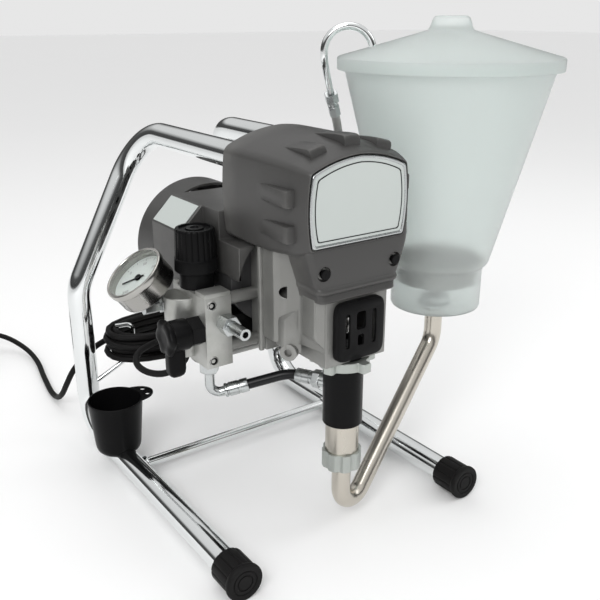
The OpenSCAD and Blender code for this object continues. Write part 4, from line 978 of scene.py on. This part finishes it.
for z, inset in cup["tabLevels"]:
    long, half = tabOut - inset, tabHalf - inset
    turns = [math.radians(-90 + 180 * k / 28) for k in range(1, 28)]
    ring = [at(cx + tabIn + long * math.cos(a) ** 0.75, cy + half * math.sin(a), z) for a in turns]
    tabRings.append([at(cx + cup["tabFrom"], cy - half, z)] + ring + [at(cx + cup["tabFrom"], cy + half, z)])
tabShell = ringShell("dripCupTab", tabRings)
slotLong, slotWide = cup["slot"]
for y in cup["slots"]:
    slotRings = [roundedRing((cx + cup["slotAt"], cy + y, z), (slotLong, 0, 0), (0, slotWide, 0), 2.6, 24)
                 for z in (80, 95)]
    carved(tabShell, ringShell("tabSlot", slotRings))
innerOutline = [(0, 60), (cup["bore"], 60), (cup["bore"], 95), (0, 95)]
carved(tabShell, spunPiece("cupInside", innerOutline, at(cx, cy, 0), (0, 0, 1), 96))
cupPieces = [smoothed(cupShell, 30), smoothed(tabShell, 30)]
dress(joined("dripCupMoulded", cupPieces), blackPlastic, "drip_cup")


# Pump guard: a rounded frame with two long slots and two small windows between them

guard = {
    "middle": (0, 242),
    "levels": [(24.5, 29.9, 30.9), (19.6, 29.9, 30.9), (18.3, 29.4, 30.4), (17.7, 28.4, 29.4)],
    "slots": [(-16.5, 243, 2.9, 18), (16.5, 243, 2.9, 18), (0, 252, 6, 9.5), (0, 231.5, 4, 6)],
    "hollow": [(20.6, 26.6, 27.6), (30, 26.6, 27.6)],
}


def guardBlock(name, place, levels, square, count):
    x, z = place
    rings = [roundedRing((x, y, z), (a, 0, 0), (0, 0, b), square, count) for y, a, b in levels]
    return ringShell(name, rings)


guardShell = guardBlock("guardShell", guard["middle"], guard["levels"], 7, 72)
carved(guardShell, guardBlock("guardHollow", guard["middle"], guard["hollow"], 7, 72))
for x, z, a, b in guard["slots"]:
    carved(guardShell, guardBlock("guardSlot", (x, z), [(10, a, b), (30, a, b)], 5, 40))
dress(smoothed(guardShell, 32), blackPlastic, "pump_guard")
print("handle, cup and guard shaped")


# Manifold: a sawn block with a step at its front, a shelf at its rear and a turned boss for the gauge

block = {
    "boxes": {"manifoldBlock": ((-120, 115, 193), (-90, 185, 269)),
              "manifoldStep": ((-119.6, 115.4, 262), (-90.4, 136, 273)),
              "manifoldShelf": ((-119.6, 174, 262), (-90.4, 184.6, 272))}, "bevel": 0.8,
    "boss": [(0, 0), (19, 0), (20, 0.8), (20, 63.2), (19, 64), (0, 64)], "bossFoot": (-120, 163, 198),
    "seat": [(4, 0), (4.6, 0.3), (5.6, 1), (4, 1.1), (4, 0)], "seatPlace": (-112.4, 114.2),
    "seatHeights": (201, 261),
}


def sharpBox(name, low, high, bevel):
    clearSelection()
    bpy.ops.mesh.primitive_cube_add(size=1)
    piece = bpy.context.object
    piece.name = name
    lowest, highest = at(*low), at(*high)
    for vertex in piece.data.vertices:
        vertex.co = [highest[k] if vertex.co[k] > 0 else lowest[k] for k in range(3)]
    return smoothed(rounded(piece, bevel), 30)


blockPieces = [sharpBox(name, *corners, block["bevel"]) for name, corners in block["boxes"].items()]
blockPieces.append(turned("gaugeBoss", block["boss"], at(*block["bossFoot"]), (0, 0, 1)))
for z in block["seatHeights"]:
    blockPieces.append(turned("screwSeat", block["seat"], at(*block["seatPlace"], z), (0, 1, 0), 32))
dress(joined("manifoldMachined", blockPieces), machinedBlock, "manifold")


# Drive housing: the casting, with a flange, facets and a lug on its left side

casting = {
    "flange": ((-66, 99, 206), (-61, 104, 378)), "bevel": 1.2,
    "facets": [[(-37, 26, 62, 226, 304), (-45.5, 31, 54, 236, 290), (-46.5, 33, 52, 240, 286)],
               [(-42, 60, 84, 212, 262), (-58, 66, 82, 218, 250), (-59, 68, 80, 221, 246)]],
    "lug": [(0, 0), (8.4, 0), (9, 0.6), (9, 9), (8.4, 9.6), (4, 9.6), (3.6, 6), (0, 6)],
    "lugPlace": (-48, 70, 214), "lugAxis": (-0.8, -0.6, 0),
}
castingPieces = [softEdged("drive_housing", castGrey, casting["bevel"]),
                 sharpBox("castFlange", *casting["flange"], casting["bevel"])]
for levels in casting["facets"]:
    rings = [[at(x, y0, z0), at(x, y1, z0), at(x, y1, z1), at(x, y0, z1)] for x, y0, y1, z0, z1 in levels]
    castingPieces.append(smoothed(rounded(ringShell("castFacet", rings), 0.8), 30))
castingPieces.append(turned("castLug", casting["lug"], at(*casting["lugPlace"]), casting["lugAxis"], 40))
dress(joined("housingCast", castingPieces), castGrey, "drive_housing")
print("manifold and housing shaped")


# Solids that need only their edges and finish

finishedNodes = {
    "cover_screws": (blackSteel, 0.5), "housing_screws": (blackSteel, 0.4),
    "motor_body": (motorPaint, 0.8), "fan_shroud": (darkPlastic, 0.8), "fan": (blackPlastic, 0.3),
    "motor_shaft": (turnedSteel, 0), "idler_gear": (turnedSteel, 0), "crank_gear": (turnedSteel, 0),
    "connecting_rod": (turnedSteel, 0.5), "piston_rod": (chrome, 0.3), "pump_cylinder": (blackSteel, 0.6),
    "lower_cylinder": (stainless, 0.4), "inlet_nut": (mattZinc, 0.7), "hopper_fitting": (brightZinc, 0.5),
    "strainer": (wovenMesh, 0.3), "return_fittings": (brightZinc, 0.5), "control_box": (darkPlastic, 1.2),
    "control_plate": (satinPlate, 0.2), "power_switch": (blackPlastic, 0.5),
    "belly_pan": (blackPlastic, 1), "manifold_screws": (blackSteel, 0.4),
    "manifold_arms": (castGrey, 0.4), "outlet_fitting": (brightZinc, 0.5), "pump_port": (brightZinc, 0.5),
    "knob_base": (blackPlastic, 0.6), "prime_valve_body": (blackPlastic, 0.6),
    "gauge_stem": (brightZinc, 0.5), "gauge_dial": (whiteDial, 0), "gauge_needle": (blackPlastic, 0.1),
    "gauge_lens": (clearLens, 0.3), "cord_gland": (blackPlastic, 0.5), "mains_plug": (blackPlastic, 1),
}
finished = {name: softEdged(name, material, width) for name, (material, width) in finishedNodes.items()}
print("CAD pieces finished:", len(finished))

dress(mainsCord, rubber, "cord_lead", "cord_hank", "cord_floor_run", "cord_coil")
print("cord laid")


# Studio

studio = {"floor": 40, "sky": 0.84}
bpy.ops.mesh.primitive_plane_add(size=studio["floor"], location=(0, 0, -0.0005))
floor = bpy.context.object
floor.name = "floor"
paper = finish("paper", (0.95, 0.95, 0.95), (0.96, 0.96, 0.96), (0.7, 0.8), 0, None, 200, 2, 0.02)
floor.data.materials.append(paper)


def softBox(name, place, aim, size, power):
    bpy.ops.object.light_add(type="AREA", location=place)
    light = bpy.context.object
    light.name = name
    light.data.shape = "RECTANGLE"
    light.data.size, light.data.size_y = size
    light.data.energy = power
    light.rotation_euler = (Vector(aim) - Vector(place)).to_track_quat("-Z", "Y").to_euler()
    return light


softBox("keyBox", (-1.5, -1.3, 1.7), (0, 0, 0.25), (1.0, 1.0), 21)
softBox("sideBox", (1.7, -0.7, 1.2), (0, 0, 0.25), (0.8, 1.4), 5)
softBox("topBox", (0, 0.3, 2.2), (0, 0, 0.2), (1.6, 1.6), 7)


def studioWorld():
    world = bpy.data.worlds.new("studio")
    bpy.context.scene.world = world
    world.use_nodes = True
    tree = world.node_tree
    background = tree.nodes["Background"]
    coords = tree.nodes.new("ShaderNodeTexCoord")
    split = tree.nodes.new("ShaderNodeSeparateXYZ")
    ramp = tree.nodes.new("ShaderNodeValToRGB")
    stops = ramp.color_ramp.elements
    stops[0].position, stops[0].color = 0.0, (0.8, 0.8, 0.8, 1)
    stops[1].position, stops[1].color = 1.0, (1, 1, 1, 1)
    for position, shade in ((0.48, 0.5), (0.52, 0.06), (0.62, 0.1), (0.7, 0.85)):
        stop = stops.new(position)
        stop.color = (shade, shade, shade, 1)
    shift = tree.nodes.new("ShaderNodeMapRange")
    shift.inputs["From Min"].default_value = -1
    path = tree.nodes.new("ShaderNodeLightPath")
    plain = tree.nodes.new("ShaderNodeMix")
    plain.data_type = "RGBA"
    plain.inputs["A"].default_value = (0.95, 0.95, 0.95, 1)
    tree.links.new(coords.outputs["Generated"], split.inputs["Vector"])
    tree.links.new(split.outputs["Z"], shift.inputs["Value"])
    tree.links.new(shift.outputs["Result"], ramp.inputs["Fac"])
    tree.links.new(path.outputs["Is Glossy Ray"], plain.inputs["Factor"])
    tree.links.new(ramp.outputs["Color"], plain.inputs["B"])
    tree.links.new(plain.outputs["Result"], background.inputs["Color"])
    background.inputs["Strength"].default_value = studio["sky"]


studioWorld()
bpy.context.scene.view_settings.view_transform = "Standard"
print("studio lit")
